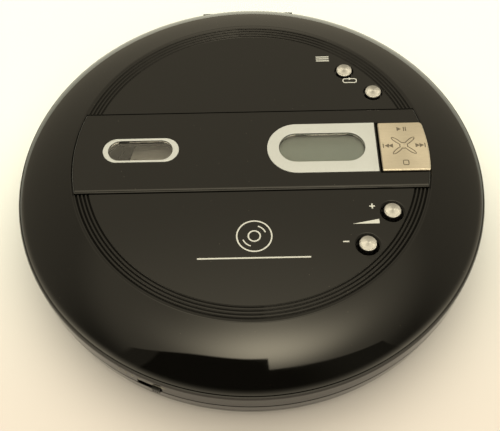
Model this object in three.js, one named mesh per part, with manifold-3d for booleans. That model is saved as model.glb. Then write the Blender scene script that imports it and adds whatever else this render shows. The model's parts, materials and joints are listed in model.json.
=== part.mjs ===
// Portable CD player: a round clamshell with a hinged lid over a disc well.
// Millimetres. X right, Y to the rear (the lid's hinge), Z up. The origin is on the table,
// under the middle of the player.
import * as THREE from 'three';
import { mergeVertices } from 'three/addons/utils/BufferGeometryUtils.js';
import Module from 'manifold-3d';

const wasm = await Module();
wasm.setup();

// ---------------------------------------------------------------- driving dimensions
const DISC_R = 60;                        // a compact disc is 120 mm across
const CASE_R = DISC_R + 12.5;             // widest line of the case
const GAP = 0.3;                          // running and assembly clearance
const SIDES = 48;                         // facets round the case
const WALL = 1.9;                         // case and lid wall

const FOOT_H = 1.0;                       // the case stands this high on its feet
const CASE_SEAM_Z = 10.5;                 // lower case meets upper case
const LID_SEAM_Z = 16.9;                  // upper case meets lid
const TOP_Z = 26.4;                       // flat top of the lid
const SKIN_Z = TOP_Z - 1.8;               // underside of the flat top
const DECK_Z = 14.5;                      // floor of the disc well
const DECK_UNDER_Z = 13.0;
const RIM_Z = LID_SEAM_Z - 0.2;           // top of the upper case's rim
const RIM_UNDER_Z = 15.2;
const WELL_R = DISC_R + 2.8;              // wall of the disc well
const DISC_Z = 19.2;                      // underside of a loaded disc
const PLATE_Z = 21.0;                     // underside of the lid's inner plate

const RECESS_R = 54.9;                    // edge of the sunken round panel on the lid
const GROOVE_R = 50.0;                    // innermost of the four rings
const GROOVE_STEP = 1.12;
const GROOVES = 4;

const BAND_Y = [-12.4, 17.0];             // the raised bar across the lid
const BAND_R = RECESS_R - 0.4;
const BAND_Z = TOP_Z + 0.9;
const POCKET_Z = TOP_Z - 0.7;             // the bar sits in a shallow pocket

const HINGE_Y = 69.0;
const HINGE_Z = LID_SEAM_Z;

// ---------------------------------------------------------------- solids
// A closed three.js geometry becomes a solid that can be joined and cut.
function solid(geometry) {
  geometry.deleteAttribute('normal');
  geometry.deleteAttribute('uv');
  const merged = mergeVertices(geometry, 1e-4);
  const vertProperties = new Float32Array(merged.attributes.position.array);
  const index = merged.index.array;
  const corners = [];
  for (let i = 0; i < index.length; i += 3) {
    const [a, b, c] = index.slice(i, i + 3);
    if (a !== b && b !== c && c !== a) corners.push(a, b, c);
  }
  if (volume(vertProperties, corners) < 0) corners.reverse();
  return new wasm.Manifold(new wasm.Mesh({ numProp: 3, vertProperties, triVerts: new Uint32Array(corners) }));
}

function volume(points, corners) {
  const at = (i) => new THREE.Vector3().fromArray(points, 3 * i);
  let sum = 0;
  for (let i = 0; i < corners.length; i += 3) {
    sum += at(corners[i]).dot(at(corners[i + 1]).cross(at(corners[i + 2])));
  }
  return sum;
}

function join(first, ...others) {
  return others.reduce((sum, other) => sum.add(other), first);
}

function cut(first, ...others) {
  return others.reduce((rest, other) => rest.subtract(other), first);
}

function block([x0, x1], [y0, y1], [z0, z1], turn = 0) {
  const geometry = new THREE.BoxGeometry(x1 - x0, y1 - y0, z1 - z0);
  geometry.translate((x0 + x1) / 2, (y0 + y1) / 2, (z0 + z1) / 2);
  return solid(geometry.rotateZ(turn));
}

// Round bars along Z, X and Y. The place of each is that of its axis.
function rod(r, [z0, z1], [x, y] = [0, 0], sides = 16) {
  const geometry = new THREE.CylinderGeometry(r, r, z1 - z0, sides).rotateX(Math.PI / 2);
  return solid(geometry.translate(x, y, (z0 + z1) / 2));
}

function rodX(r, [x0, x1], [y, z], sides = 12) {
  const geometry = new THREE.CylinderGeometry(r, r, x1 - x0, sides).rotateZ(Math.PI / 2);
  return solid(geometry.translate((x0 + x1) / 2, y, z));
}

function rodY(r, [y0, y1], [x, z], turn = 0, sides = 12) {
  const geometry = new THREE.CylinderGeometry(r, r, y1 - y0, sides);
  return solid(geometry.translate(x, (y0 + y1) / 2, z).rotateZ(turn));
}

// A profile of [radius, height] points, turned about Z.
function turned(points, sides = SIDES) {
  const profile = points.map(([r, z]) => new THREE.Vector2(r, z));
  if (points[0][0] > 0 || points.at(-1)[0] > 0) profile.push(profile[0].clone());
  return solid(new THREE.LatheGeometry(profile, sides).rotateX(Math.PI / 2));
}

function prism(shape, [z0, z1], bevel = 0, curveSegments = 7) {
  const geometry = new THREE.ExtrudeGeometry(shape, {
    depth: z1 - z0 - 2 * bevel,
    curveSegments,
    bevelEnabled: bevel > 0,
    bevelThickness: bevel,
    bevelSize: bevel,
    bevelOffset: -bevel,
    bevelSegments: 1,
  });
  return solid(geometry.translate(0, 0, z0 + bevel));
}

// ---------------------------------------------------------------- outlines
function pill(x0, x1, y0, y1, grow = 0) {
  const r = (y1 - y0) / 2 + grow;
  const y = (y0 + y1) / 2;
  const shape = new THREE.Shape();
  shape.absarc(x1 + grow - r, y, r, -Math.PI / 2, Math.PI / 2, false);
  shape.absarc(x0 - grow + r, y, r, Math.PI / 2, 1.5 * Math.PI, false);
  return shape;
}

// Round at the left, square at the right, as the display's frame is.
function bullet(x0, x1, y0, y1, grow = 0) {
  const r = (y1 - y0) / 2 + grow;
  const y = (y0 + y1) / 2;
  const shape = new THREE.Shape();
  shape.moveTo(x1 + grow, y - r);
  shape.lineTo(x1 + grow, y + r);
  shape.absarc(x0 - grow + r, y, r, Math.PI / 2, 1.5 * Math.PI, false);
  return shape;
}

// A bar across a circle: straight sides at two heights and ends on the circle.
function bar(r, y0, y1) {
  const low = Math.asin(y0 / r);
  const high = Math.asin(y1 / r);
  const shape = new THREE.Shape();
  shape.absarc(0, 0, r, low, high, false);
  shape.absarc(0, 0, r, Math.PI - high, Math.PI - low, false);
  return shape;
}

// A plate between a straight left side and the circle.
function keyOutline(x0, y0, y1, r) {
  const shape = new THREE.Shape();
  shape.absarc(0, 0, r, Math.asin(y0 / r), Math.asin(y1 / r), false);
  shape.lineTo(x0, y1);
  shape.lineTo(x0, y0);
  return shape;
}

const polar = (r, degrees) => {
  const a = THREE.MathUtils.degToRad(degrees);
  return [r * Math.cos(a), r * Math.sin(a)];
};
// Pieces on the case wall are drawn at the front, at -90 degrees, and turned to their place.
const fromFront = (degrees) => THREE.MathUtils.degToRad(degrees + 90);

// ---------------------------------------------------------------- materials
const look = (color, roughness, metalness = 0) => ({ color, roughness, metalness });
const LOOKS = {
  gloss_black: look(0x15130f, 0.12),
  matte_black: look(0x1c1b19, 0.6),
  silver_paint: look(0xd5d0b7, 0.35, 0.4),
  spun_metal: look(0xccbf97, 0.3, 1),
  brushed_metal: look(0xbfae8a, 0.35, 1),
  steel: look(0x9a9a98, 0.3, 1),
  clear_plastic: look(0xe8ecea, 0.08),
  display_glass: look(0x84816f, 0.25),
  rubber: look(0x222222, 0.9),
  grey_plastic: look(0xb2ad99, 0.5),
  board_green: look(0x2f5a3a, 0.5),
  brass: look(0xb08d4a, 0.35, 1),
  lens_glass: look(0x6a78b0, 0.05),
};

const player = new THREE.Group();

function piece(name, shape, finish, at = [0, 0, 0], turn = 0) {
  const { vertProperties, triVerts } = shape.getMesh();
  const geometry = new THREE.BufferGeometry();
  geometry.setAttribute('position', new THREE.BufferAttribute(new Float32Array(vertProperties), 3));
  geometry.setIndex(Array.from(triVerts));
  geometry.computeVertexNormals();
  const mesh = new THREE.Mesh(geometry, new THREE.MeshStandardMaterial(LOOKS[finish]));
  mesh.name = name;
  mesh.position.set(...at);
  mesh.rotation.z = turn;
  player.add(mesh);
}

// ---------------------------------------------------------------- shared places
const CASE_SCREW_AT = [45, 135, 225, 315].map((degrees) => polar(66.3, degrees));
const FOOT_AT = [40, 140, 220, 320].map((degrees) => polar(57.5, degrees));
const LID_SCREW_AT = [[-34, 36], [-34, -36], [44, 22]];
const DAMPER_AT = [[-22, -48], [-22, 4], [23, -46]];
const BAY = { x: 29.6, y: [23.0, 54.0], roof: 17.3 };    // two AA cells, side by side
const DOOR_HINGE_Z = 1.8;
const SLIDER_AZ = -114;
const LID_SWITCH_AZ = -62;
const PHONE_JACK_AZ = -27.7;
const DC_JACK_AZ = 12;
const HOLD_AZ = 28;
const JACK_Z = 13.15;
const ROD_X = 12;                         // guide rod at -ROD_X, lead screw at +ROD_X
const ROD_Z = 10.2;
const SLED_Y = -23;                       // the lens is under the first track
const SLED_HALF = 6.5;
const SLED_TRAVEL = 32;

const WINDOW = [-45.0, -21.8, -1.8, 7.1];
const WINDOW_OPENING = [-43.3, -23.8, -1.0, 6.2];
const DISPLAY = [5.0, 38.3, -6.8, 11.5];
const DISPLAY_OPENING = [8.7, 34.8, -2.7, 7.8];
const KEY = { x: 39.2, y: [-7.0, 11.0], r: 53.9, mid: [46.4, 2.0] };

// Round buttons: name, place, and the radius of the dish each one stands in.
const BUTTONS = [
  ['program_button', [30.9, 33.6], 3.0],
  ['mode_button', [39.4, 24.4], 3.0],
  ['volume_up_button', [40.7, -20.4], 3.6],
  ['volume_down_button', [32.6, -31.2], 3.6],
];
const CAP_R = 2.6;
const PRESS = 0.6;

// ---------------------------------------------------------------- base
function lowerCase() {
  const shell = turned([
    [0, FOOT_H], [66.5, FOOT_H], [69.3, 1.7], [71.0, 2.9], [71.7, 4.2], [72.4, CASE_SEAM_Z - 0.15],
    [70.3, CASE_SEAM_Z - 0.15], [69.8, 4.8], [68.8, 3.4], [66.6, 2.6], [0, 2.6],
  ]);
  const bosses = CASE_SCREW_AT.map((at) => rod(2.8, [2.4, 9.9], at, 12));
  const pegs = [[-45, -30], [40, -35], [-50, 8]].map((at) => rod(1.4, [2.5, 3.5], at, 12));
  const counterbores = CASE_SCREW_AT.map((at) => rod(2.1, [0.5, 2.4], at, 12));
  const screwHoles = CASE_SCREW_AT.map((at) => rod(1.1, [2, 11], at, 12));
  const footPockets = FOOT_AT.map((at) => rod(4.3, [0.5, 1.8], at, 16));
  const doorway = block([-BAY.x, BAY.x], BAY.y, [0.5, 3]);
  const hingeCups = [-1, 1].map((side) => rodX(0.75,
    [side * 31 - 1.6, side * 31 + 1.6], [BAY.y[1] - 0.9, DOOR_HINGE_Z]));
  const catchLip = block([-4, 4], [BAY.y[0] - 1, BAY.y[0] + 1.2], [2.5, 2.9]);
  return join(cut(join(shell, ...bosses, ...pegs), ...counterbores, ...screwHoles, ...footPockets, doorway,
    ...hingeCups), catchLip);
}

function batteryDoor() {
  const [y0, y1] = BAY.y;
  const plate = block([-BAY.x + GAP, BAY.x - GAP], [y0 + GAP, y1 - 1.9], [FOOT_H, 2.2]);
  const barrel = rodX(0.7, [-BAY.x + GAP, BAY.x - GAP], [y1 - 0.9, DOOR_HINGE_Z], 12);
  const web = block([-BAY.x + 2, BAY.x - 2], [y1 - 2.2, y1 - 0.9], [1.4, 2.2]);
  const stubs = rodX(0.45, [-BAY.x - 1.2, BAY.x + 1.2], [y1 - 0.9, DOOR_HINGE_Z], 12);
  const thumb = block([-5, 5], [y0 + 2.2, y0 + 4.2], [0.9, 1.3]);
  return cut(join(plate, barrel, web, stubs), thumb);
}

function footShape() {
  return turned([[0, 0], [3.6, 0], [4.0, 0.4], [4.0, 1.6], [0, 1.6]], 16);
}

function caseScrew() {
  const head = turned([[0, 1.4], [1.5, 1.4], [1.8, 1.7], [1.8, 2.3], [0, 2.3]], 12);
  const slot = [0, Math.PI / 2].map((turn) => block([-1.2, 1.2], [-0.25, 0.25], [1.2, 1.8], turn));
  return cut(join(head, rod(0.8, [2.2, 12.4], [0, 0], 12)), ...slot);
}

function mainBoard() {
  const round = rod(66, [3.6, 4.6], [0, 0], SIDES);
  const board = cut(round, block([-80, 80], [20.5, 80], [0, 9]),
    ...CASE_SCREW_AT.map((at) => rod(3.6, [0, 9], at, 12)));
  const chips = [
    block([-44, -30], [-22, -8], [4.5, 5.7]),
    block([-52, -42], [4, 14], [4.5, 5.5]),
    block([30, 40], [-30, -20], [4.5, 5.6]),
    block([34, 44], [2, 8], [4.5, 5.9]),
  ];
  const cans = [[50, -12], [55, -6], [-56, -8]].map((at) => rod(2.5, [4.5, 9.5], at, 12));
  return join(board, ...chips, ...cans);
}

// ---------------------------------------------------------------- upper case
function upperCase() {
  const shell = turned([
    [CASE_R - 0.1, CASE_SEAM_Z + 0.15], [CASE_R, 15.9], [CASE_R - 0.3, RIM_Z], [WELL_R + 0.9, RIM_Z],
    [WELL_R, RIM_Z - 0.8], [WELL_R, DECK_Z], [0, DECK_Z], [0, DECK_UNDER_Z], [WELL_R + 0.7, DECK_UNDER_Z],
    [WELL_R + 1.2, RIM_UNDER_Z], [CASE_R - 2.2, RIM_UNDER_Z], [CASE_R - 2.2, CASE_SEAM_Z + 0.15],
  ]);
  return cut(join(shell, ...deckAdditions()), ...deckCuts());
}

function deckAdditions() {
  const bayBox = block([-BAY.x - 1.6, BAY.x + 1.6], [BAY.y[0] - 1.6, BAY.y[1] + 1.4], [3.1, BAY.roof + 0.8]);
  const bosses = CASE_SCREW_AT.map((at) => rod(2.6, [CASE_SEAM_Z + 0.15, RIM_UNDER_Z + 0.3], at, 12));
  const posts = DAMPER_AT.map((at) => rod(1.2, [8.2, DECK_UNDER_Z + 0.3], at, 12));
  const hingeBlock = block([-21, 21], [63.4, 66.6], [CASE_SEAM_Z + 0.3, RIM_UNDER_Z + 0.3]);
  const hingeFloor = block([-21, 21], [66.3, 68.6], [CASE_SEAM_Z + 0.3, 12.8]);
  const web = block([-7, 7], [66.3, HINGE_Y], [12.5, RIM_Z]);
  const lug = rodX(1.5, [-7, 7], [HINGE_Y, HINGE_Z]);
  return [bayBox, ...bosses, ...posts, hingeBlock, hingeFloor, web, lug];
}

function deckCuts() {
  const bayInside = block([-BAY.x, BAY.x], BAY.y, [2, BAY.roof]);
  const bayShoulders = [-1, 1].map((side) => block([side * 40 - 11.5, side * 40 + 11.5],
    [BAY.y[1] - 3.9, 80], [RIM_Z, 30]));
  const spindleHole = rod(6.2, [12, 16], [0, 0], 32);
  const lensSlot = block([-6.5, 6.5], [SLED_Y - SLED_TRAVEL - SLED_HALF, SLED_Y + SLED_HALF], [12, 16]);
  const screwHoles = CASE_SCREW_AT.map((at) => rod(1.1, [9, 13.2], at, 12));
  const notch = rodX(4.0, [-24, 24], [HINGE_Y, HINGE_Z], 32);
  const keepLug = join(block([-7, 7], [66.3, HINGE_Y], [12, RIM_Z]), rodX(1.5, [-7, 7], [HINGE_Y, HINGE_Z]));
  const pinHoles = rodX(0.9, [-8, 8], [HINGE_Y, HINGE_Z]);
  return [bayInside, ...bayShoulders, spindleHole, lensSlot, ...screwHoles, cut(notch, keepLug), pinHoles,
    ...wallCuts()];
}

function wallCuts() {
  const slider = fromFront(SLIDER_AZ);
  const hold = fromFront(HOLD_AZ);
  const sliderSlot = block([-3.7, 3.8], [-74, -69], [9, 13.5], slider);
  const hookSlot = block([-5.3, 1.4], [-66.5, -63.6], [12, 18], slider);
  const phoneHole = rodY(2.4, [-75, -69], [0, JACK_Z], fromFront(PHONE_JACK_AZ), 20);
  const dcHole = rodY(2.4, [-75, -69], [0, JACK_Z], fromFront(DC_JACK_AZ), 20);
  const holdSlot = block([-3.6, 3.6], [-75, -69], [11.9, 14.1], hold);
  const plungerHole = rod(1.1, [12, 18], polar(65.5, LID_SWITCH_AZ), 16);
  return [sliderSlot, hookSlot, phoneHole, dcHole, holdSlot, plungerHole];
}

// The slider shows as a small tab in a slot of the wall. Its arm ends in a hook under the lid.
function openSlider() {
  const knob = block([0.9, 3.4], [-73.3, -69.0], [11.0, 13.2]);
  const plate = block([-4.2, 4.8], [-69.4, -68.2], [11.0, 13.2]);
  const arm = block([-1.2, 0.8], [-69, -64], [11.4, 13.0]);
  const post = block([-1.2, 0.8], [-66.0, -64], [11.4, 18.5]);
  const nose = block([0.5, 1.9], [-66.0, -64], [17.9, 18.5]);
  return join(knob, plate, arm, post, nose);
}

function jack(tail) {
  const body = block([-3.5, 3.5], [-69.9, -64.6], [10.9, 15.0]);
  const back = block([-3.0, 3.0], [-65, -tail], [10.9, 12.7]);
  const collar = rodY(2.1, [-71.6, -69], [0, JACK_Z], 0, 20);
  const bore = rodY(1.75, [-75, -65.6], [0, JACK_Z], 0, 16);
  return cut(join(body, back, collar), bore);
}

function holdKnob() {
  const knob = block([-3.2, -0.2], [-73.0, -69], [12.2, 13.8]);
  const ridges = [-2.6, -1.7, -0.8].map((x) => block([x - 0.15, x + 0.15], [-73.4, -72.9], [12.3, 13.7]));
  const plate = block([-4.6, 1.4], [-69.8, -68.8], [11.2, 14.4]);
  return join(knob, plate, ...ridges);
}

// ---------------------------------------------------------------- mechanism
function chassis() {
  const [plateLow, plateHigh] = [6.4, 7.4];
  const [supportFront, supportBack] = [[-65.5, -63.2], [-15.0, -12.8]];
  const plate = block([-18.5, 22.5], [-65.5, 14], [plateLow, plateHigh]);
  const ears = DAMPER_AT.map(([x, y]) => rod(4.2, [plateLow, plateHigh], [x, y], 20));
  const supports = [supportFront, supportBack].flatMap((y) => [-ROD_X, ROD_X]
    .map((x) => block([x - 3, x + 3], y, [plateHigh - 0.3, 12.6])));
  const window = block([-9, 9], [-62, -16], [5, 9]);
  const rodHoles = [-ROD_X, ROD_X].map((x) => rodY(1.6, [-64.9, -10], [x, ROD_Z]));
  const earHoles = DAMPER_AT.map((at) => rod(1.9, [5, 9], at, 12));
  const motorWindow = rod(8, [5, 9], [0, 0], 32);
  return cut(join(plate, ...ears, ...supports), window, ...rodHoles, ...earHoles, motorWindow);
}

function damper() {
  return turned([[1.6, 7.6], [3.2, 7.6], [2.7, 8.6], [3.3, 9.8], [2.7, 11.2], [3.2, 12.8], [1.6, 12.8]], 12);
}

function spindleMotor() {
  const can = turned([[1.1, 7.6], [10.6, 7.6], [10.6, 11.4], [9.8, 12.2], [3, 12.2], [3, 12.6], [1.1, 12.6]], 24);
  return can;
}

function turntable() {
  const hub = turned([
    [1.05, 12.9], [4.6, 12.9], [4.6, 16.4], [11.5, 17.6], [13, 18.2], [13, DISC_Z], [7.35, DISC_Z],
    [7.35, 20.2], [6.2, 20.9], [1.05, 20.9],
  ], 24);
  const pockets = [0, 120, 240].map((degrees) => rodY(1.25, [-8, -4.6], [0, BALL_Z], fromFront(degrees)));
  return cut(hub, ...pockets);
}
const BALL_Z = 20.05;

function catchBall() {
  return solid(new THREE.SphereGeometry(0.9, 12, 8));
}

function leadScrew() {
  const thread = rodY(1.25, [-64.6, -10.2], [0, 0]);
  const gear = rodY(2.5, [-12.4, -10.4], [0, 0], 0, 14);
  return join(thread, gear);
}

function pickupSled() {
  const left = block([-ROD_X - 2.6, -ROD_X + 2.6], [-SLED_HALF, SLED_HALF], [7.8, 12.6]);
  const right = block([ROD_X - 2.6, ROD_X + 2.6], [-SLED_HALF + 2, SLED_HALF - 2], [7.8, 12.6]);
  const bridge = block([-ROD_X, ROD_X], [-SLED_HALF + 0.8, SLED_HALF - 0.8], [7.8, 10.6]);
  const bearings = [-ROD_X, ROD_X].map((x) => rodY(1.65, [-10, 10], [x, ROD_Z]));
  const magnets = [-1, 1].map((side) => block([-6.2, 6.2], [side * 5 - 0.7, side * 5 + 0.7], [10.3, 12.6]));
  return cut(join(left, right, bridge, ...magnets), ...bearings);
}

function lensHolder() {
  const body = block([-4.5, 4.5], [-3.9, 3.9], [11.2, 14.8]);
  return cut(body, rod(2.5, [10, 16], [0, 0], 20));
}

function objectiveLens() {
  return turned([[0, 13.0], [2.2, 13.2], [2.2, 14.3], [1.7, 14.9], [0.9, 15.2], [0, 15.3]], 20);
}

// ---------------------------------------------------------------- lid
// The lid's shoulder, from the edge of the sunken panel down to the widest line.
const shoulder = new THREE.CubicBezierCurve(
  new THREE.Vector2(RECESS_R, TOP_Z + 0.35),
  new THREE.Vector2(RECESS_R + 3.65, TOP_Z - 1.3),
  new THREE.Vector2(CASE_R, TOP_Z - 8.0),
  new THREE.Vector2(CASE_R, TOP_Z - 10.6),
);

function shoulderPoints(steps, inset = 0) {
  const points = [];
  for (let i = 0; i <= steps; i += 1) {
    const point = shoulder.getPoint(i / steps);
    const tangent = shoulder.getTangent(i / steps);
    points.push([point.x + inset * tangent.y, point.y - inset * tangent.x]);
  }
  return points;
}

function lidShell() {
  const grooves = [];
  for (let i = 0; i < GROOVES; i += 1) {
    const r = GROOVE_R + i * GROOVE_STEP;
    grooves.push([r - 0.3, TOP_Z], [r, TOP_Z - 0.35], [r + 0.3, TOP_Z]);
  }
  const shell = turned([[0, TOP_Z], ...grooves, [RECESS_R - 0.5, TOP_Z], ...shoulderPoints(8),
    ...shoulderPoints(4, WALL).reverse(), [RECESS_R - 2.5, SKIN_Z], [0, SKIN_Z]]);
  return cut(join(shell, ...lidAdditions()), ...lidCuts());
}

function lidAdditions() {
  const bosses = LID_SCREW_AT.map((at) => rod(2.2, [PLATE_Z + 1.4, SKIN_Z + 0.4], at, 12));
  const hingeRib = join(
    block([-17, 17], [66.2, 69.4], [LID_SEAM_Z, LID_SEAM_Z + 2.2]),
    rodX(1.6, [-16, 16], [HINGE_Y, HINGE_Z]),
  );
  const outline = turned([[0, 0], [CASE_R, 0], ...shoulderPoints(8).reverse(), [0, TOP_Z]]);
  return [...bosses, hingeRib.intersect(outline)];
}

function lidCuts() {
  const underSeam = cut(block([-80, 80], [-80, 80], [0, LID_SEAM_Z + 0.1]),
    rodX(1.6, [-16, 16], [HINGE_Y, HINGE_Z]));
  const lugRoom = rodX(1.9, [-7.3, 7.3], [HINGE_Y, HINGE_Z], 24);
  const pinHoles = rodX(0.9, [-14.6, 14.6], [HINGE_Y, HINGE_Z]);
  const pocket = prism(bar(BAND_R + 0.25, BAND_Y[0] - 0.25, BAND_Y[1] + 0.25), [POCKET_Z, 40], 0, 6);
  const windowHole = prism(pill(...WINDOW_OPENING), [20, 40]);
  const displayHole = block([6.6, 37.0], [-5.2, 10.2], [20, 40]);
  const screwHoles = LID_SCREW_AT.map((at) => rod(1.0, [20, SKIN_Z + 0.6], at, 12));
  const dishes = BUTTONS.map(([, at, r]) => rod(r, [TOP_Z - 1.2, 40], at, 20));
  const stemHoles = BUTTONS.map(([, at]) => rod(1.6, [20, 40], at, 12));
  return [underSeam, lugRoom, pinHoles, pocket, windowHole, displayHole, ...screwHoles, ...dishes, ...stemHoles];
}

function innerPlate() {
  const plate = turned([
    [0, PLATE_Z], [57.6, PLATE_Z], [58.3, PLATE_Z + 0.5], [58.3, PLATE_Z + 1.2], [0, PLATE_Z + 1.2],
  ]);
  const hubHole = rod(9.5, [20, 24], [0, 0], 32);
  const [left, right, near, far] = WINDOW_OPENING;
  const windowHole = prism(pill(left, right, near, far + 5, 1), [20, 24]);
  const counterbores = LID_SCREW_AT.map((at) => rod(1.7, [20, PLATE_Z + 0.9], at, 12));
  const screwHoles = LID_SCREW_AT.map((at) => rod(1.0, [20, 24], at, 12));
  return cut(plate, hubHole, windowHole, ...counterbores, ...screwHoles);
}

function lidScrew() {
  const head = rod(1.35, [PLATE_Z + 0.2, PLATE_Z + 0.8], [0, 0], 16);
  const slot = [0, Math.PI / 2].map((turn) => block([-0.9, 0.9], [-0.2, 0.2], [20, PLATE_Z + 0.5], turn));
  return cut(join(head, rod(0.7, [PLATE_Z + 0.6, SKIN_Z + 0.2], [0, 0], 12)), ...slot);
}

function lidCatch() {
  const web = block([3.4, 4.6], [-66.0, -64.0], [17.1, 18.6]);
  const ledge = block([2.2, 3.6], [-66.0, -64.0], [17.1, 17.7]);
  const foot = block([3.4, 7.5], [-64.6, -64.0], [17.4, 19.2]);
  return join(web, ledge, foot);
}

function bandPanel() {
  const panel = prism(bar(BAND_R, ...BAND_Y), [POCKET_Z + 0.15, BAND_Z], 0.45, 6);
  const windowHole = prism(pill(...WINDOW, 0.2), [20, 40]);
  const displayHole = prism(bullet(...DISPLAY, 0.2), [20, 40]);
  const keyHole = block([KEY.x - 0.5, 80], [KEY.y[0] - 0.4, KEY.y[1] + 0.4], [20, 40]);
  return cut(panel, windowHole, displayHole, keyHole);
}

function windowFrame() {
  return cut(prism(pill(...WINDOW), [POCKET_Z + 0.15, BAND_Z + 0.1]),
    prism(pill(...WINDOW_OPENING), [20, 40]));
}

function windowLens() {
  return prism(pill(...WINDOW_OPENING, -0.15), [POCKET_Z + 0.15, BAND_Z - 0.15]);
}

function displayFrame() {
  return cut(prism(bullet(...DISPLAY), [POCKET_Z + 0.15, BAND_Z + 0.1]),
    prism(pill(...DISPLAY_OPENING), [20, 40]));
}

function displayLens() {
  return prism(pill(...DISPLAY_OPENING, -0.15), [POCKET_Z + 0.15, BAND_Z - 0.15]);
}

function displayModule() {
  return join(
    block([7.2, 36.4], [-4.6, 9.6], [23.3, 24.6]),
    block([8.0, 35.6], [-3.8, 8.8], [24.5, POCKET_Z - 0.1]),
  );
}

function lidBoard() {
  const sheet = [22.5, 23.1];
  const round = rod(53, sheet, [0, 0], 48);
  const cutaway = block([-80, 3], [-80, 80], [20, 26]);
  const screwRoom = LID_SCREW_AT.map((at) => rod(2.7, [20, 26], at, 12));
  const contacts = BUTTONS.map(([, at]) => rod(1.9, [23.0, 23.3], at, 12));
  const keyContacts = [[-5, 0], [5, 0], [0, -6], [0, 6]]
    .map(([x, y]) => rod(1.5, [23.0, 23.3], [KEY.mid[0] + x, KEY.mid[1] + y], 12));
  return join(cut(round, cutaway, ...screwRoom), ...contacts, ...keyContacts);
}

function roundButton() {
  return turned([
    [0, 24.0], [2.1, 24.0], [2.1, 24.35], [1.2, 24.4], [1.2, 25.9], [CAP_R, 25.9], [CAP_R, TOP_Z + 0.8],
    [CAP_R - 0.25, TOP_Z + 1.1], [CAP_R - 0.7, TOP_Z + 1.1], [0, TOP_Z + 0.8],
  ], 16);
}

// The four-way key rocks on a small cross-pivot: about Y on the pivot, about X on the plate.
function keyPivot() {
  const [x, y] = KEY.mid;
  return block([x - 3.2, x + 3.2], [y - 3.2, y + 3.2], [POCKET_Z + 0.25, POCKET_Z + 0.8]);
}

function keyPlate() {
  const [x, y] = KEY.mid;
  const plate = prism(keyOutline(KEY.x, ...KEY.y, KEY.r), [TOP_Z + 0.35, TOP_Z + 1.6], 0.2, 8);
  const pegs = [[-5.4, 0], [5.4, 0], [0, -6.5], [0, 6.5]]
    .map(([dx, dy]) => rod(0.8, [POCKET_Z + 0.5, TOP_Z + 0.6], [x + dx, y + dy], 12));
  return join(plate, ...pegs);
}

// ---------------------------------------------------------------- battery contacts
function contactPlate() {
  return block([BAY.x - 0.9, BAY.x - 0.4], [24.2, 52.8], [4.5, 15.5]);
}

class Helix extends THREE.Curve {
  getPoint(t, target = new THREE.Vector3()) {
    const a = 2 * Math.PI * 3 * t;
    const r = 3.6 - 1.6 * t;
    return target.set(4.2 * t, r * Math.cos(a), r * Math.sin(a));
  }
}

function cellSpring() {
  const section = new THREE.Shape();
  section.absarc(0, 0, 0.35, 0, 2 * Math.PI, false);
  return solid(new THREE.ExtrudeGeometry(section, { steps: 26, extrudePath: new Helix(), curveSegments: 3 }));
}

// ---------------------------------------------------------------- assembly
piece('lower_case', lowerCase(), 'gloss_black');
piece('battery_door', batteryDoor(), 'matte_black');
FOOT_AT.forEach(([x, y], i) => piece(`rubber_foot_${i + 1}`, footShape(), 'rubber', [x, y, 0]));
CASE_SCREW_AT.forEach(([x, y], i) => piece(`case_screw_${i + 1}`, caseScrew(), 'steel', [x, y, 0]));
piece('main_board', mainBoard(), 'board_green');
piece('cell_contact', contactPlate(), 'steel');
[31, 46].forEach((y, i) => piece(`cell_spring_${i + 1}`, cellSpring(), 'steel', [-BAY.x + 0.6, y, 9.8]));

piece('upper_case', upperCase(), 'gloss_black');
piece('headphone_jack', jack(56), 'matte_black', [0, 0, 0], fromFront(PHONE_JACK_AZ));
piece('dc_jack', jack(58), 'matte_black', [0, 0, 0], fromFront(DC_JACK_AZ));
piece('hold_switch', holdKnob(), 'matte_black', [0, 0, 0], fromFront(HOLD_AZ));
piece('open_slider', openSlider(), 'gloss_black', [0, 0, 0], fromFront(SLIDER_AZ));
piece('lid_switch', turned([[0, 11.5], [0.8, 11.5], [0.8, 18.2], [0.5, 18.5], [0, 18.5]], 16), 'grey_plastic',
  [...polar(65.5, LID_SWITCH_AZ), 0]);
[-1, 1].forEach((side, i) => piece(`hinge_pin_${i + 1}`,
  rodX(0.6, side < 0 ? [-14.3, -3.5] : [3.5, 14.3], [HINGE_Y, HINGE_Z]), 'steel'));

piece('mechanism_chassis', chassis(), 'steel');
DAMPER_AT.forEach(([x, y], i) => piece(`damper_${i + 1}`, damper(), 'rubber', [x, y, 0]));
piece('spindle_motor', spindleMotor(), 'steel');
piece('spindle_shaft', rod(0.75, [8, 20.4], [0, 0], 16), 'steel');
piece('turntable', turntable(), 'matte_black');
[0, 120, 240].forEach((degrees, i) => piece(`catch_ball_${i + 1}`, catchBall(), 'steel',
  [...polar(6.85, degrees), BALL_Z]));
piece('guide_rod', rodY(1.25, [-64.6, -13.0], [-ROD_X, ROD_Z]), 'steel');
piece('lead_screw', leadScrew(), 'brass', [ROD_X, 0, ROD_Z]);
piece('sled_motor', cut(rodY(2.5, [-9.8, 3], [0, 0], 0, 20), rodY(0.7, [-12, -6], [0, 0])), 'steel',
  [ROD_X + 4.5, 0, ROD_Z]);
piece('motor_pinion', join(rodY(1.6, [-12.2, -10.6], [0, 0], 0, 10), rodY(0.4, [-11, -7], [0, 0], 0, 10)),
  'brass', [ROD_X + 4.5, 0, ROD_Z]);
piece('pickup_sled', pickupSled(), 'matte_black', [0, SLED_Y, 0]);
piece('lens_holder', lensHolder(), 'grey_plastic', [0, SLED_Y, 0]);
piece('objective_lens', objectiveLens(), 'lens_glass', [0, SLED_Y, 0]);

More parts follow.
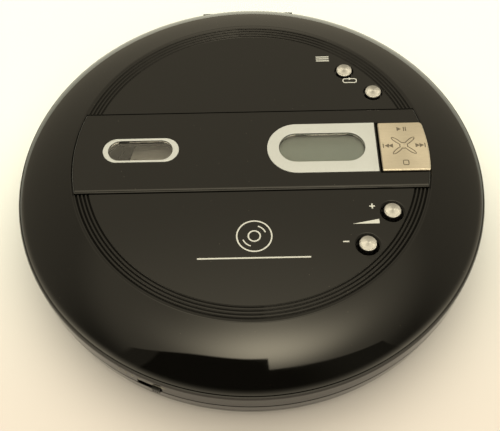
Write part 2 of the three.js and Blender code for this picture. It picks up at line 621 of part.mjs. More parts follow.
piece('lid_shell', lidShell(), 'gloss_black');
piece('lid_inner_plate', innerPlate(), 'grey_plastic');
LID_SCREW_AT.forEach(([x, y], i) => piece(`lid_screw_${i + 1}`, lidScrew(), 'steel', [x, y, 0]));
piece('lid_catch', lidCatch(), 'matte_black', [0, 0, 0], fromFront(SLIDER_AZ));
piece('lid_board', lidBoard(), 'board_green');
piece('display_module', displayModule(), 'display_glass');
piece('band_panel', bandPanel(), 'gloss_black');
piece('window_frame', windowFrame(), 'silver_paint');
piece('window_lens', windowLens(), 'clear_plastic');
piece('display_frame', displayFrame(), 'silver_paint');
piece('display_lens', displayLens(), 'clear_plastic');
BUTTONS.forEach(([name, [x, y]]) => piece(name, roundButton(), 'spun_metal', [x, y, 0]));
piece('key_pivot', keyPivot(), 'matte_black');
piece('key_plate', keyPlate(), 'brushed_metal');

export default player;
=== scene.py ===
import json
from math import asin, atan2, cos, degrees, hypot, pi, radians, sin, tan, tau

import bmesh
import bpy
from mathutils import Matrix, Vector


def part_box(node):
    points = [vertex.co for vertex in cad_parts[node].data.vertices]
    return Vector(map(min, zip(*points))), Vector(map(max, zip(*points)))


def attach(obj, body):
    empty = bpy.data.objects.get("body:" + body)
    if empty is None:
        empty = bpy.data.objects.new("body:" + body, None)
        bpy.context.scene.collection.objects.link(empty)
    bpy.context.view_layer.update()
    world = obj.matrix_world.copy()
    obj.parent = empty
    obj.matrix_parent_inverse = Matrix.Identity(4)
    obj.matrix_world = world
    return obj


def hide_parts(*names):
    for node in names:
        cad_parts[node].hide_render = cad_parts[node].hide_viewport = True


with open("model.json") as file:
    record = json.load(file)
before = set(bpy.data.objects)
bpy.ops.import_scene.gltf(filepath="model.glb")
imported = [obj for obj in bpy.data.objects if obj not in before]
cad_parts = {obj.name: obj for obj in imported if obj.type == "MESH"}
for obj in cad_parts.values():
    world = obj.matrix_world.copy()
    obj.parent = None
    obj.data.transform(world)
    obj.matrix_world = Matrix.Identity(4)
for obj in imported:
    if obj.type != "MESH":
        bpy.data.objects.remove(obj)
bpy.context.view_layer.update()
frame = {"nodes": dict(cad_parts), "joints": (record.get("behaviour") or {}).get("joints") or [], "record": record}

MM = 0.001
SEGMENTS = 240  # facets round the case
QUARTER_TURN = pi / 2
FOUR = (1, 2, 3, 4)


# -------- places, from the frame
def span(node):
    """The lowest and highest corner of a CAD node, in millimetres."""
    low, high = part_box(node)
    return [v / MM for v in low], [v / MM for v in high]


def middle(node):
    low, high = span(node)
    return [(a + b) / 2 for a, b in zip(low, high)]


def from_front(node):
    """How far a wall piece, drawn at the front, turns about Z to reach its node."""
    x, y, _ = middle(node)
    return atan2(y, x) + QUARTER_TURN


CASE_R = span("upper_case")[1][0]
BAND_LOW, BAND_HIGH = span("band_panel")
BAND_Z = BAND_HIGH[2]
TOP_Z = BAND_Z - 0.9  # flat top of the lid
SKIN_Z = TOP_Z - 1.8  # its underside
POCKET_Z = TOP_Z - 0.7  # floor of the pocket that holds the band
LID_LOW_Z = TOP_Z - 9.4
CASE_SEAM_Z = span("lower_case")[1][2] + 0.15
CASE_LOW_Z = span("lower_case")[0][2]
BAND_R = BAND_HIGH[0]
RECESS_R = BAND_R + 0.4
RIM_Z = LID_LOW_Z - 0.3
DECK_Z = 14.5
DECK_UNDER_Z = 13.0
RIM_UNDER_Z = 15.2
WELL_R = 62.8
HINGE = next(j for j in frame["joints"] if j["name"] == "lid_hinge")["pos_m"]
HINGE_AT = (HINGE[1] / MM, HINGE[2] / MM)  # in Y and Z
PLATE_Z, PLATE_TOP_Z = (corner[2] for corner in span("lid_inner_plate"))
DOOR_LOW, DOOR_HIGH = span("battery_door")
BAY_X = DOOR_HIGH[0] - 1.2  # half the width of the battery bay
BAY_Y = (DOOR_LOW[1] - 0.3, DOOR_HIGH[1] + 0.2)
DISC_Z = 19.2  # where a disc lies on the turntable
CELL_Z = 9.8  # middle of the battery cells
JACK_Z = 13.15
PIN_HOLE_R = 0.75
LUG_X = 7  # half the width of the case's hinge lug
ABOVE = 40  # a height over everything, for cutters
OUTSIDE = -75  # a place before the front wall, for cutters

ROOM_FILL = 1.74  # light from overhead on matt surfaces
WALL = 1.9
GROOVE_R = 50.0  # the first ring of the lid, and the step to the next
GROOVE_STEP = 1.12
GROOVES = 4
GROOVE_HALF = 0.38
GROOVE_DEEP = 0.38


# -------- mesh tools, in millimetres
def object_from(bm, name="part"):
    bmesh.ops.recalc_face_normals(bm, faces=bm.faces)
    mesh = bpy.data.meshes.new(name)
    bm.to_mesh(mesh)
    bm.free()
    obj = bpy.data.objects.new(name, mesh)
    bpy.context.scene.collection.objects.link(obj)
    return obj


def revolve(profile, segments=SEGMENTS, at=(0, 0)):
    """A solid of revolution about Z. The profile ends on the axis or closes on itself."""
    bm = bmesh.new()
    rings = []
    for r, z in profile:
        if r < 1e-6:
            rings.append([bm.verts.new((at[0], at[1], z))])
            continue
        rings.append([bm.verts.new((x, y, z)) for x, y in arc(at[0], at[1], r, 0, tau, segments)[:-1]])
    pairs = list(zip(rings, rings[1:]))
    if len(rings[0]) > 1 and len(rings[-1]) > 1:
        pairs.append((rings[-1], rings[0]))
    for low, high in pairs:
        for i in range(segments):
            j = (i + 1) % segments
            corners = [low[i % len(low)], low[j % len(low)], high[j % len(high)], high[i % len(high)]]
            corners = list(dict.fromkeys(corners))
            if len(corners) > 2:
                bm.faces.new(corners)
    return object_from(bm)


def prism(outline, z0, z1):
    return loft([(outline, z0), (outline, z1)])


def bridge(bm, low, high):
    """Quads between two rings of vertices."""
    for i in range(len(low)):
        j = (i + 1) % len(low)
        bm.faces.new((low[i], low[j], high[j], high[i]))


def loft(loops, closed=False):
    """A skin over (outline, height) loops of equal point counts, capped at its ends or closed on itself."""
    bm = bmesh.new()
    rings = [[bm.verts.new((x, y, z)) for x, y in outline] for outline, z in loops]
    pairs = list(zip(rings, rings[1:]))
    if closed:
        pairs.append((rings[-1], rings[0]))
    else:
        bm.faces.new(rings[0])
        bm.faces.new(rings[-1])
    for low, high in pairs:
        bridge(bm, low, high)
    return object_from(bm)


def block(x, y, z, round_edges=0.0, steps=2):
    bm = bmesh.new()
    bmesh.ops.create_cube(bm, size=1)
    size = (x[1] - x[0], y[1] - y[0], z[1] - z[0])
    centre = ((x[0] + x[1]) / 2, (y[0] + y[1]) / 2, (z[0] + z[1]) / 2)
    bmesh.ops.scale(bm, vec=size, verts=bm.verts)
    bmesh.ops.translate(bm, vec=centre, verts=bm.verts)
    if round_edges:
        bmesh.ops.bevel(bm, geom=bm.edges[:], offset=round_edges, segments=steps, profile=0.5, affect="EDGES")
    return object_from(bm)


def rod(r, z, at=(0, 0), edge=0.0, segments=48):
    if edge:
        profile = [(0, z[0]), (r - edge, z[0]), (r - 0.3 * edge, z[0] + 0.3 * edge), (r, z[0] + edge),
                   (r, z[1] - edge), (r - 0.3 * edge, z[1] - 0.3 * edge), (r - edge, z[1]), (0, z[1])]
    else:
        profile = [(0, z[0]), (r, z[0]), (r, z[1]), (0, z[1])]
    return revolve(profile, segments, at)


def lying(r, along, at, axis="X", edge=0.0, segments=32, turn=0.0):
    """A round bar along X or Y, at the other two places in X, Y, Z order."""
    obj = rod(r, along, (0, 0), edge, segments)
    if axis == "X":
        matrix = Matrix.Translation((0, at[0], at[1])) @ Matrix.Rotation(QUARTER_TURN, 4, "Y")
    else:
        matrix = Matrix.Translation((at[0], 0, at[1])) @ Matrix.Rotation(-QUARTER_TURN, 4, "X")
    obj.data.transform(Matrix.Rotation(turn, 4, "Z") @ matrix)
    return obj


def turned_to(obj, turn):
    obj.data.transform(Matrix.Rotation(turn, 4, "Z"))
    return obj


def combine(target, others, operation):
    """One exact boolean of a piece with several others, which are used up."""
    if not others:
        return target
    group = bpy.data.collections.new("operands")
    for other in others:
        group.objects.link(other)
    modifier = target.modifiers.new("cut", "BOOLEAN")
    modifier.operation = operation
    modifier.solver = "EXACT"
    modifier.operand_type = "COLLECTION"
    modifier.collection = group
    graph = bpy.context.evaluated_depsgraph_get()
    mesh = bpy.data.meshes.new_from_object(target.evaluated_get(graph))
    target.modifiers.clear()
    target.data = mesh
    for other in others:
        bpy.data.objects.remove(other)
    bpy.data.collections.remove(group)
    return target


def cut(target, *others):
    return combine(target, list(others), "DIFFERENCE")


def join(target, *others):
    return combine(target, list(others), "UNION")


def finish_piece(obj, name, body, material, replaces=(), angle=30):
    """Brings a piece to metres, shades it smooth up to that angle, and puts it on its body."""
    mesh = obj.data
    mesh.transform(Matrix.Scale(MM, 4))
    mesh.name = name
    obj.name = name
    mesh.materials.clear()
    mesh.materials.append(material)
    mesh.polygons.foreach_set("material_index", [0] * len(mesh.polygons))
    mesh.shade_smooth()
    mesh.set_sharp_from_angle(angle=radians(angle))
    weighted = obj.modifiers.new("normals", "WEIGHTED_NORMAL")
    weighted.keep_sharp = True
    weighted.weight = 100
    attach(obj, body)
    if replaces:
        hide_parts(*replaces)


# -------- outlines, in millimetres
def arc(x, y, r, start, end, steps=24):
    return [(x + r * cos(start + (end - start) * i / steps),
             y + r * sin(start + (end - start) * i / steps)) for i in range(steps + 1)]


def pill(low, high, grow=0.0):
    r = (high[1] - low[1]) / 2 + grow
    y = (low[1] + high[1]) / 2
    right = arc(high[0] + grow - r, y, r, -QUARTER_TURN, QUARTER_TURN, 32)
    left = arc(low[0] - grow + r, y, r, QUARTER_TURN, 1.5 * pi, 32)
    return right + left


def bullet(low, high, grow=0.0):
    """Round at the left, square at the right, with as many points as a pill."""
    r = (high[1] - low[1]) / 2 + grow
    y = (low[1] + high[1]) / 2
    x = high[0] + grow - r
    square = []
    for i in range(33):
        c, s = cos((i - 16) * pi / 32), sin((i - 16) * pi / 32)
        reach = r / max(abs(c), abs(s))
        square.append((x + reach * c, y + reach * s))
    return square + arc(low[0] - grow + r, y, r, QUARTER_TURN, 1.5 * pi, 32)


def rectangle(x, y, wide, high):
    """About its middle point."""
    return [(x - wide / 2, y - high / 2), (x + wide / 2, y - high / 2), (x + wide / 2, y + high / 2),
            (x - wide / 2, y + high / 2)]


def bar(r, y0, y1):
    """A disc of radius r, cut off straight in front and behind."""
    low = asin(y0 / r)
    high = asin(y1 / r)
    return arc(0, 0, r, low, high, 40) + arc(0, 0, r, pi - high, pi - low, 40)


def softened(points, radii, steps=6):
    """A polygon with its corners rounded. radii gives each corner's radius."""
    out = []
    count = len(points)
    for i, (x, y) in enumerate(points):
        radius = radii[i]
        if not radius:
            out.append((x, y))
            continue
        here = Vector((x, y))
        before = (Vector(points[i - 1]) - here).normalized()
        after = (Vector(points[(i + 1) % count]) - here).normalized()
        half = before.angle(after) / 2
        reach = radius / tan(half)
        a = here + before * reach
        b = here + after * reach
        for k in range(steps + 1):
            t = k / steps
            point = a.lerp(here, t).lerp(here.lerp(b, t), t)
            out.append((point.x, point.y))
    return out


# -------- materials
def socket(value, tree, target):
    if isinstance(value, (int, float)):
        target.default_value = value
    elif isinstance(value, (tuple, list)):
        target.default_value = tuple(value)
    else:
        tree.links.new(value, target)


class Shader:
    """A node tree with short calls for the few nodes these materials use."""

    def __init__(self, tree, surface=None):
        self.tree = tree
        self.surface = surface

    def node(self, kind, inputs=None, **settings):
        made = self.tree.nodes.new("ShaderNode" + kind)
        for key, value in settings.items():
            setattr(made, key, value)
        for key, value in (inputs or {}).items():
            socket(value, self.tree, made.inputs[key])
        return made

    def wear(self, **inputs):
        """Sets inputs of the surface, with _ for a space in their names."""
        for key, value in inputs.items():
            socket(value, self.tree, self.surface.inputs[key.replace("_", " ")])

    def place(self, stretch=(1, 1, 1)):
        coordinates = self.node("TexCoord")
        mapping = self.node("Mapping", {"Vector": coordinates.outputs["Object"], "Scale": stretch})
        return mapping.outputs["Vector"]

    def noise(self, scale, detail=3.0, rough=0.55, stretch=(1, 1, 1)):
        made = self.node("TexNoise", {
            "Vector": self.place(stretch), "Scale": scale, "Detail": detail, "Roughness": rough})
        return made.outputs["Fac"]

    def maths(self, operation, a, b=0.0):
        return self.node("Math", {0: a, 1: b}, operation=operation).outputs[0]

    def plus(self, a, b):
        return self.maths("ADD", a, b)

    def minus(self, a, b):
        return self.maths("SUBTRACT", a, b)

    def times(self, *values):
        product = values[0]
        for value in values[1:]:
            product = self.maths("MULTIPLY", product, value)
        return product

    def ranged(self, value, low, high, to_low=0.0, to_high=1.0, smooth=False):
        made = self.node("MapRange", {
            "Value": value, "From Min": low, "From Max": high, "To Min": to_low, "To Max": to_high})
        made.interpolation_type = "SMOOTHSTEP" if smooth else "LINEAR"
        return made.outputs["Result"]

    def mixed(self, factor, a, b, kind="RGBA"):
        return self.node("Mix", {"Factor": factor, "A": a, "B": b}, data_type=kind).outputs["Result"]

    def bump(self, height, strength, distance, under=None):
        made = self.node("Bump", {"Height": height, "Strength": strength, "Distance": distance})
        if under:
            self.tree.links.new(under, made.inputs["Normal"])
        return made.outputs["Normal"]


def new_material(name, **inputs):
    material = bpy.data.materials.new(name)
    material.use_nodes = True
    tree = material.node_tree
    shader = Shader(tree, tree.nodes["Principled BSDF"])
    shader.wear(**inputs)
    return material, shader


def darker(colour, share):
    return tuple(c * share for c in colour[:3]) + (1,)


def gloss_black():
    """Injection-moulded gloss: a mirror skin with a faint ripple, finger smears, hair scratches and dust."""
    material, s = new_material("gloss_black", IOR=1.5)
    smears = s.ranged(s.noise(45, 4, 0.6), 0.45, 0.75, 0.02, 0.07)
    scratches = s.ranged(s.noise(300, 2, 0.5, (1, 14, 1)), 0.64, 0.8, 0.0, 0.04)
    dust = s.node("TexVoronoi", {"Vector": s.place(), "Scale": 520.0, "Randomness": 1.0})
    rare = s.ranged(s.noise(130, 1), 0.56, 0.6)
    speck = s.times(s.ranged(dust.outputs["Distance"], 0.055, 0.03, 0.0, 0.55), rare)
    ripple = s.bump(s.noise(70, 1, 0.4), 0.35, 0.00002)
    s.wear(Base_Color=s.mixed(speck, (0.0022, 0.0021, 0.0019, 1), (0.16, 0.15, 0.12, 1)),
           Roughness=s.plus(s.plus(smears, scratches), s.times(speck, 0.5)),
           Normal=s.bump(s.noise(420, 3, 0.6), 0.12, 0.000004, ripple))
    return material


def matte_plastic(name, colour, rough=0.55, grain=0.5):
    material, s = new_material(name)
    s.wear(Base_Color=s.mixed(s.noise(60, 3), darker(colour, 0.86), colour),
           Roughness=s.ranged(s.noise(900, 2), 0.3, 0.7, rough - 0.07, rough + 0.07),
           Normal=s.bump(s.noise(2600, 2, 0.7), grain, 0.00003))
    return material


def silver_paint():
    """Metallic paint on plastic: fine flake, slightly worn."""
    material, s = new_material("silver_paint", Metallic=0.35)
    flake = s.noise(5200, 2, 0.8)
    cloud = s.ranged(s.noise(90, 2), 0.4, 0.7, 0.0, 0.18)
    tone = s.mixed(flake, (0.44, 0.47, 0.50, 1), (0.63, 0.68, 0.72, 1))
    s.wear(Base_Color=s.mixed(cloud, tone, (0.40, 0.43, 0.44, 1)),
           Roughness=s.ranged(flake, 0.3, 0.7, 0.28, 0.42),
           Normal=s.bump(flake, 0.15, 0.00001))
    return material


def brushed_metal():
    """Aluminium brushed along X, with the lines in colour, gloss and relief."""
    material, s = new_material("brushed_metal", Metallic=1.0, Anisotropic=0.5)
    lines = s.noise(240, 5, 0.75, (1, 26, 1))
    fine = s.noise(700, 3, 0.7, (1, 40, 1))
    s.wear(Base_Color=s.mixed(lines, (0.56, 0.50, 0.40, 1), (0.86, 0.79, 0.66, 1)),
           Roughness=s.ranged(fine, 0.3, 0.7, 0.26, 0.42),
           Normal=s.bump(fine, 0.4, 0.000012))
    return material


def spun_metal(name, x, y):
    """A cap turned on a lathe: rings about its own centre, 0.22 mm apart."""
    material, s = new_material(name, Metallic=1.0, Anisotropic=0.95)
    centre = s.node("VectorMath", {0: s.place(), 1: (x * MM, y * MM, 0)}, operation="SUBTRACT")
    flat = s.node("VectorMath", {0: centre.outputs[0], 1: (1, 1, 0)}, operation="MULTIPLY")
    radius = s.node("VectorMath", {0: flat.outputs[0]}, operation="LENGTH").outputs["Value"]
    wave = s.maths("SINE", s.times(radius, tau / (0.22 * MM)))
    uneven = s.noise(1500, 2)
    rings = s.ranged(s.plus(s.times(wave, 0.35), uneven), 0.2, 0.9)
    tangent = s.node("Tangent", direction_type="RADIAL", axis="Z")
    s.wear(Base_Color=s.mixed(rings, (0.66, 0.66, 0.65, 1), (0.90, 0.90, 0.88, 1)),
           Roughness=s.ranged(uneven, 0.3, 0.7, 0.44, 0.52),
           Normal=s.bump(wave, 0.15, 0.000008),
           Tangent=tangent.outputs[0])
    return material


def plain_metal(name, colour):
    material, s = new_material(name, Metallic=1.0)
    worn = s.noise(320, 4, 0.6)
    s.wear(Base_Color=s.mixed(worn, darker(colour, 0.75), colour),
           Roughness=s.ranged(worn, 0.3, 0.7, 0.22, 0.42),
           Normal=s.bump(s.noise(1800, 2), 0.12, 0.00001))
    return material


def rubber():
    material, s = new_material("rubber", Roughness=0.85)
    s.wear(Base_Color=s.mixed(s.noise(500, 3), (0.012, 0.012, 0.012, 1), (0.03, 0.03, 0.03, 1)),
           Normal=s.bump(s.noise(3000, 3, 0.7), 0.6, 0.00004))
    return material


def clear_plastic():
    """A clear window: see-through, with a glossy skin that smears catch."""
    material, s = new_material("clear_plastic")
    smears = s.ranged(s.noise(60, 3), 0.4, 0.7, 0.03, 0.09)
    gloss = s.node("BsdfGlossy", {"Color": (1, 1, 1, 1), "Roughness": smears})
    see = s.node("BsdfTransparent", {"Color": (0.99, 0.99, 0.98, 1)})
    fresnel = s.node("Fresnel", {"IOR": 1.45})
    mix = s.node("MixShader", {0: fresnel.outputs[0], 1: see.outputs[0], 2: gloss.outputs[0]})
    s.tree.links.new(mix.outputs[0], s.tree.nodes["Material Output"].inputs["Surface"])
    s.tree.nodes.remove(s.surface)
    return material


def display_glass():
    """The blank panel: grey-green, a hair of cell texture, and painted shade from the frame along its far edge."""
    material, s = new_material("display_glass", IOR=1.5)
    cells = s.node("TexBrick", {
        "Vector": s.place(), "Scale": 1400.0, "Mortar Size": 0.03, "Color1": (0.168, 0.213, 0.205, 1),
        "Color2": (0.161, 0.205, 0.198, 1), "Mortar": (0.150, 0.190, 0.185, 1)})
    cloud = s.ranged(s.noise(50, 2), 0.35, 0.7, 0.0, 0.25)
    panel = s.mixed(cloud, cells.outputs["Color"], (0.19, 0.22, 0.19, 1))
    across = s.node("SeparateXYZ", {"Vector": s.place()}).outputs["Y"]
    # painted shade: the panel darkens towards its far edge, standing in for the frame's shadow on it
    painted_frame_shade = s.ranged(across, 0.002, 0.0075, 0.0, 0.45, True)
    s.wear(Base_Color=s.mixed(painted_frame_shade, panel, (0.08, 0.095, 0.08, 1)),
           Roughness=s.ranged(s.noise(900, 2), 0.3, 0.7, 0.16, 0.26))
    return material


def lens_glass():
    material, s = new_material("lens_glass", Roughness=0.03, IOR=1.6, Coat_Weight=1.0)
    tint = s.node("LayerWeight", {"Blend": 0.4}).outputs["Facing"]
    s.wear(Base_Color=s.mixed(tint, (0.02, 0.03, 0.10, 1), (0.20, 0.12, 0.26, 1)))
    return material


def board():
    """Solder mask over copper tracks."""
    material, s = new_material("board_green", Roughness=0.35)
    tracks = s.node("TexVoronoi", {"Vector": s.place(), "Scale": 260.0}, distance="CHEBYCHEV")
    line = s.ranged(tracks.outputs["Distance"], 0.34, 0.36)
    s.wear(Base_Color=s.mixed(line, (0.010, 0.055, 0.022, 1), (0.025, 0.11, 0.04, 1)),
           Normal=s.bump(line, 0.3, 0.00003))
    return material


def ink():
    material, s = new_material("ink", Roughness=0.5)
    s.wear(Base_Color=s.mixed(s.noise(2200, 2), (0.44, 0.47, 0.48, 1), (0.58, 0.61, 0.63, 1)))
    return material


MATERIALS = {
    "gloss_black": gloss_black(),
    "matte_black": matte_plastic("matte_black", (0.016, 0.016, 0.015, 1)),
    "silver_paint": silver_paint(),
    "brushed_metal": brushed_metal(),
    "spun_metal": spun_metal("spun_metal", 0, 0),
    "steel": plain_metal("steel", (0.62, 0.61, 0.58, 1)),
    "brass": plain_metal("brass", (0.72, 0.50, 0.20, 1)),
    "clear_plastic": clear_plastic(),
    "display_glass": display_glass(),
    "rubber": rubber(),
    "grey_plastic": matte_plastic("grey_plastic", (0.60, 0.57, 0.47, 1), 0.45, 0.3),
    "board_green": board(),
    "lens_glass": lens_glass(),
    "ink": ink(),
    "ink_dim": matte_plastic("ink_dim", (0.16, 0.155, 0.135, 1), 0.5, 0.3),
    "engraving": matte_plastic("engraving", (0.13, 0.112, 0.085, 1), 0.5, 0.3),
    "well_grey": matte_plastic("well_grey", (0.92, 0.91, 0.90, 1), 0.35, 0.25),
}

# Every CAD node first gets its slot's material. Fine pieces below replace most of the shown ones.
SLOT_OF = {row["node"]: row["material_slot"] for row in frame["record"]["subparts"]}
for node_name, node in frame["nodes"].items():
    node.data.materials.clear()
    node.data.materials.append(MATERIALS[SLOT_OF[node_name]])


BODY_OF = {}
for body_name, members in frame["record"]["behaviour"]["bodies"].items():
    BODY_OF.update(dict.fromkeys(members, body_name))


def piece(obj, node, angle=30, material=None):
    """A fine piece that stands for a CAD node."""
    slot = SLOT_OF[node]
    finish_piece(obj, node + "_fine", BODY_OF[node], material or MATERIALS[slot], [node], angle)


def extra(obj, name, body, slot, material=None):
    """A piece that the CAD leaves out."""
    finish_piece(obj, name, body, material or MATERIALS[slot])


# -------- camera, light and floor
def camera():
    """It looks down at 58 degrees, from 230 mm off a point near the front of the lid."""
    elevation = radians(58.2)
    distance = 230 * MM
    roll = -0.02
    aim = Vector((-0.6 * MM, -20.9 * MM, TOP_Z * MM))
    forward = Vector((0, cos(elevation), -sin(elevation)))
    level_right = Vector((1, 0, 0))
    level_up = Vector((0, sin(elevation), cos(elevation)))
    right = cos(roll) * level_right + sin(roll) * level_up
    up = -sin(roll) * level_right + cos(roll) * level_up
    data = bpy.data.cameras.new("camera")
    data.lens = 57.2
    data.sensor_width = 36
    data.clip_start = 0.01
    made = bpy.data.objects.new("camera", data)
    facing = Matrix((right, up, -forward)).transposed().to_4x4()
    made.matrix_world = Matrix.Translation(aim - distance * forward) @ facing
    bpy.context.scene.collection.objects.link(made)
    bpy.context.scene.camera = made


def room():
    """The room that the gloss shows, by height and by degrees aside of the front: a lamp's glow high over
    the front, a dark screen with sharp edges below it, and the pale table's far side below that."""
    world = bpy.data.worlds.new("room")
    world.use_nodes = True
    bpy.context.scene.world = world
    s = Shader(world.node_tree)
    plus, minus, times, ranged = s.plus, s.minus, s.times, s.ranged
    direction = s.node("TexCoord").outputs["Generated"]
    x, y, z = s.node("SeparateXYZ", {"Vector": direction}).outputs
    height = times(s.maths("ARCSINE", z), degrees(1))
    aside = times(s.maths("ARCTAN2", x, times(y, -1.0)), degrees(1))
    aside_size = s.maths("ABSOLUTE", aside)

    def less(value, centre, bend):
        """value less centre, plus bend times the square of how far aside it is."""
        return plus(minus(value, centre), times(aside, aside, bend))

    def bell(value, centre, width):
        offset = s.maths("DIVIDE", minus(value, centre), width)
        return s.maths("EXPONENT", times(offset, offset, -1.0))

    def step(value, at=0.0, soft=0.35):
        return ranged(value, at - soft, at + soft, smooth=True)

    def blend(factor, a, b):
        return s.mixed(factor, a, b, "FLOAT")

    walls = ranged(height, 34, 46, 0.48, 0.76, True)
    ceiling = ranged(height, 56, 76, 0.0, 1.25, True)
    lamp = times(bell(less(height, 58.3, 0.0018), 0.0, 5.0), bell(aside, 8.0, 38.0), 5.9)
    dim = minus(1.0, times(bell(height, 30.0, 10.0), bell(aside_size, 62.0, 22.0), 0.62))
    upper = plus(times(plus(walls, ceiling), dim), lamp)

    above_left = step(plus(less(height, 56.2, 0.0018), times(aside, aside, aside, aside, 1e-6)))
    from_step = minus(aside, 7.0)
    above_right = step(minus(height, minus(51.9, times(from_step, from_step, 0.0046))))
    above = blend(ranged(aside, 6.7, 7.3), above_left, above_right)
    screen = times(minus(1.0, above), step(aside, -55.0, 1.5), minus(1.0, step(aside, 57.0)))
    screen_right = ranged(aside, 15.0, 45.0, 0.02, 0.12, True)
    screen_light = plus(screen_right, ranged(aside, -46.5, -44.5, 0.16, 0.0, True))

    table = plus(1.9, times(bell(aside_size, 64.0, 22.0), 1.6))
    over_table = ranged(less(height, 28.0, 0.0024), -12.0, 10.0, smooth=True)
    shown = blend(over_table, table, blend(screen, upper, screen_light))
    soft_light = times(ranged(height, 4, 48, 0.05, ROOM_FILL, True), ranged(y, -1.0, 1.0, 0.3, 1.7, True))
    rays = s.node("LightPath").outputs
    seen = rays["Is Camera Ray"]
    strength = blend(seen, blend(rays["Is Diffuse Ray"], shown, soft_light), 1.0)
    warm = s.mixed(seen, (1.0, 0.885, 0.64, 1), (1.0, 0.98, 0.88, 1))
    background = s.node("Background", {"Color": warm, "Strength": strength})
    output = s.node("OutputWorld")
    s.tree.links.new(background.outputs[0], output.inputs["Surface"])
    for stray in [n for n in s.tree.nodes if n.type == "OUTPUT_WORLD" and n != output]:
        s.tree.nodes.remove(stray)


def floor():
    """A pale table with a painted light falloff: darker and a little warmer towards the front."""
    bm = bmesh.new()
    bmesh.ops.create_grid(bm, x_segments=8, y_segments=8, size=0.7)
    bmesh.ops.translate(bm, vec=(0, -0.56, 0), verts=bm.verts)
    obj = object_from(bm, "floor")
    material, s = new_material("table", Roughness=0.7, Specular_IOR_Level=0.2)
    y = s.node("SeparateXYZ", {"Vector": s.place()}).outputs["Y"]
    # painted light falloff: the table is darker and warmer in front, lighter and bluer behind
    back = s.ranged(y, -0.085, 0.04, smooth=True)
    s.wear(Base_Color=s.mixed(back, (0.65, 0.63, 0.66, 1), (0.85, 0.93, 1.0, 1)),
           Normal=s.bump(s.noise(900, 3), 0.05, 0.0001))
    obj.data.materials.append(material)


camera()
room()
floor()
bpy.context.scene.view_settings.view_transform = "Standard"


# -------- case
def shoulder(steps, inset=0.0):
    """Points down the lid's shoulder, from the sunken panel's edge to the widest line."""
    p = [(RECESS_R + 0.25, TOP_Z + 0.28), (RECESS_R + 3.65, TOP_Z - 1.3), (CASE_R, TOP_Z - 8.0),
         (CASE_R, TOP_Z - 10.6)]
    out = []
    for i in range(steps + 1):
        t = i / steps
        w = ((1 - t) ** 3, 3 * (1 - t) ** 2 * t, 3 * (1 - t) * t * t, t ** 3)
        d = (-3 * (1 - t) ** 2, 3 * (1 - t) ** 2 - 6 * (1 - t) * t, 6 * (1 - t) * t - 3 * t * t, 3 * t * t)
        x, z = (sum(a * q[k] for a, q in zip(w, p)) for k in (0, 1))
        dx, dz = (sum(a * q[k] for a, q in zip(d, p)) for k in (0, 1))
        length = hypot(dx, dz)
        out.append((x + inset * dz / length, z - inset * dx / length))
    return out


def ring_grooves():
    """The four rings: shallow rolled grooves round the sunken panel."""
    points = []
    steps = 8
    for ring in range(GROOVES):
        centre = GROOVE_R + ring * GROOVE_STEP
        for i in range(steps + 1):
            s = 2 * i / steps - 1
            dip = GROOVE_DEEP * (0.5 + 0.5 * cos(pi * s))
            points.append((centre + s * GROOVE_HALF, TOP_Z - dip))
    return points


def hinge_barrel(x0, x1, r=1.6):
    return lying(r, (x0, x1), HINGE_AT, edge=0.2)


def plan(node, room=0.0):
    """A node's two corners in plan, moved out by that much room."""
    low, high = span(node)
    return [v - room for v in low[:2]], [v + room for v in high[:2]]


BUTTONS = {  # and the radius of each one's dish
    "program_button": 3.0,
    "mode_button": 3.0,
    "volume_up_button": 3.6,
    "volume_down_button": 3.6,
}
CONE_FROM_R = 3.2  # wider dishes are cones
LID_SCREWS = [middle(f"lid_screw_{i}")[:2] for i in (1, 2, 3)]
LENS_GAP = 0.15
WINDOW = plan("window_frame")
WINDOW_OPENING = plan("window_lens", LENS_GAP)
DISPLAY = plan("display_frame")
DISPLAY_OPENING = plan("display_lens", LENS_GAP)
KEY_LOW, KEY_HIGH = span("key_plate")
KEY_MIDDLE = middle("key_pivot")[:2]
LENS_SLOT = rectangle(0, -39, 13, 45)


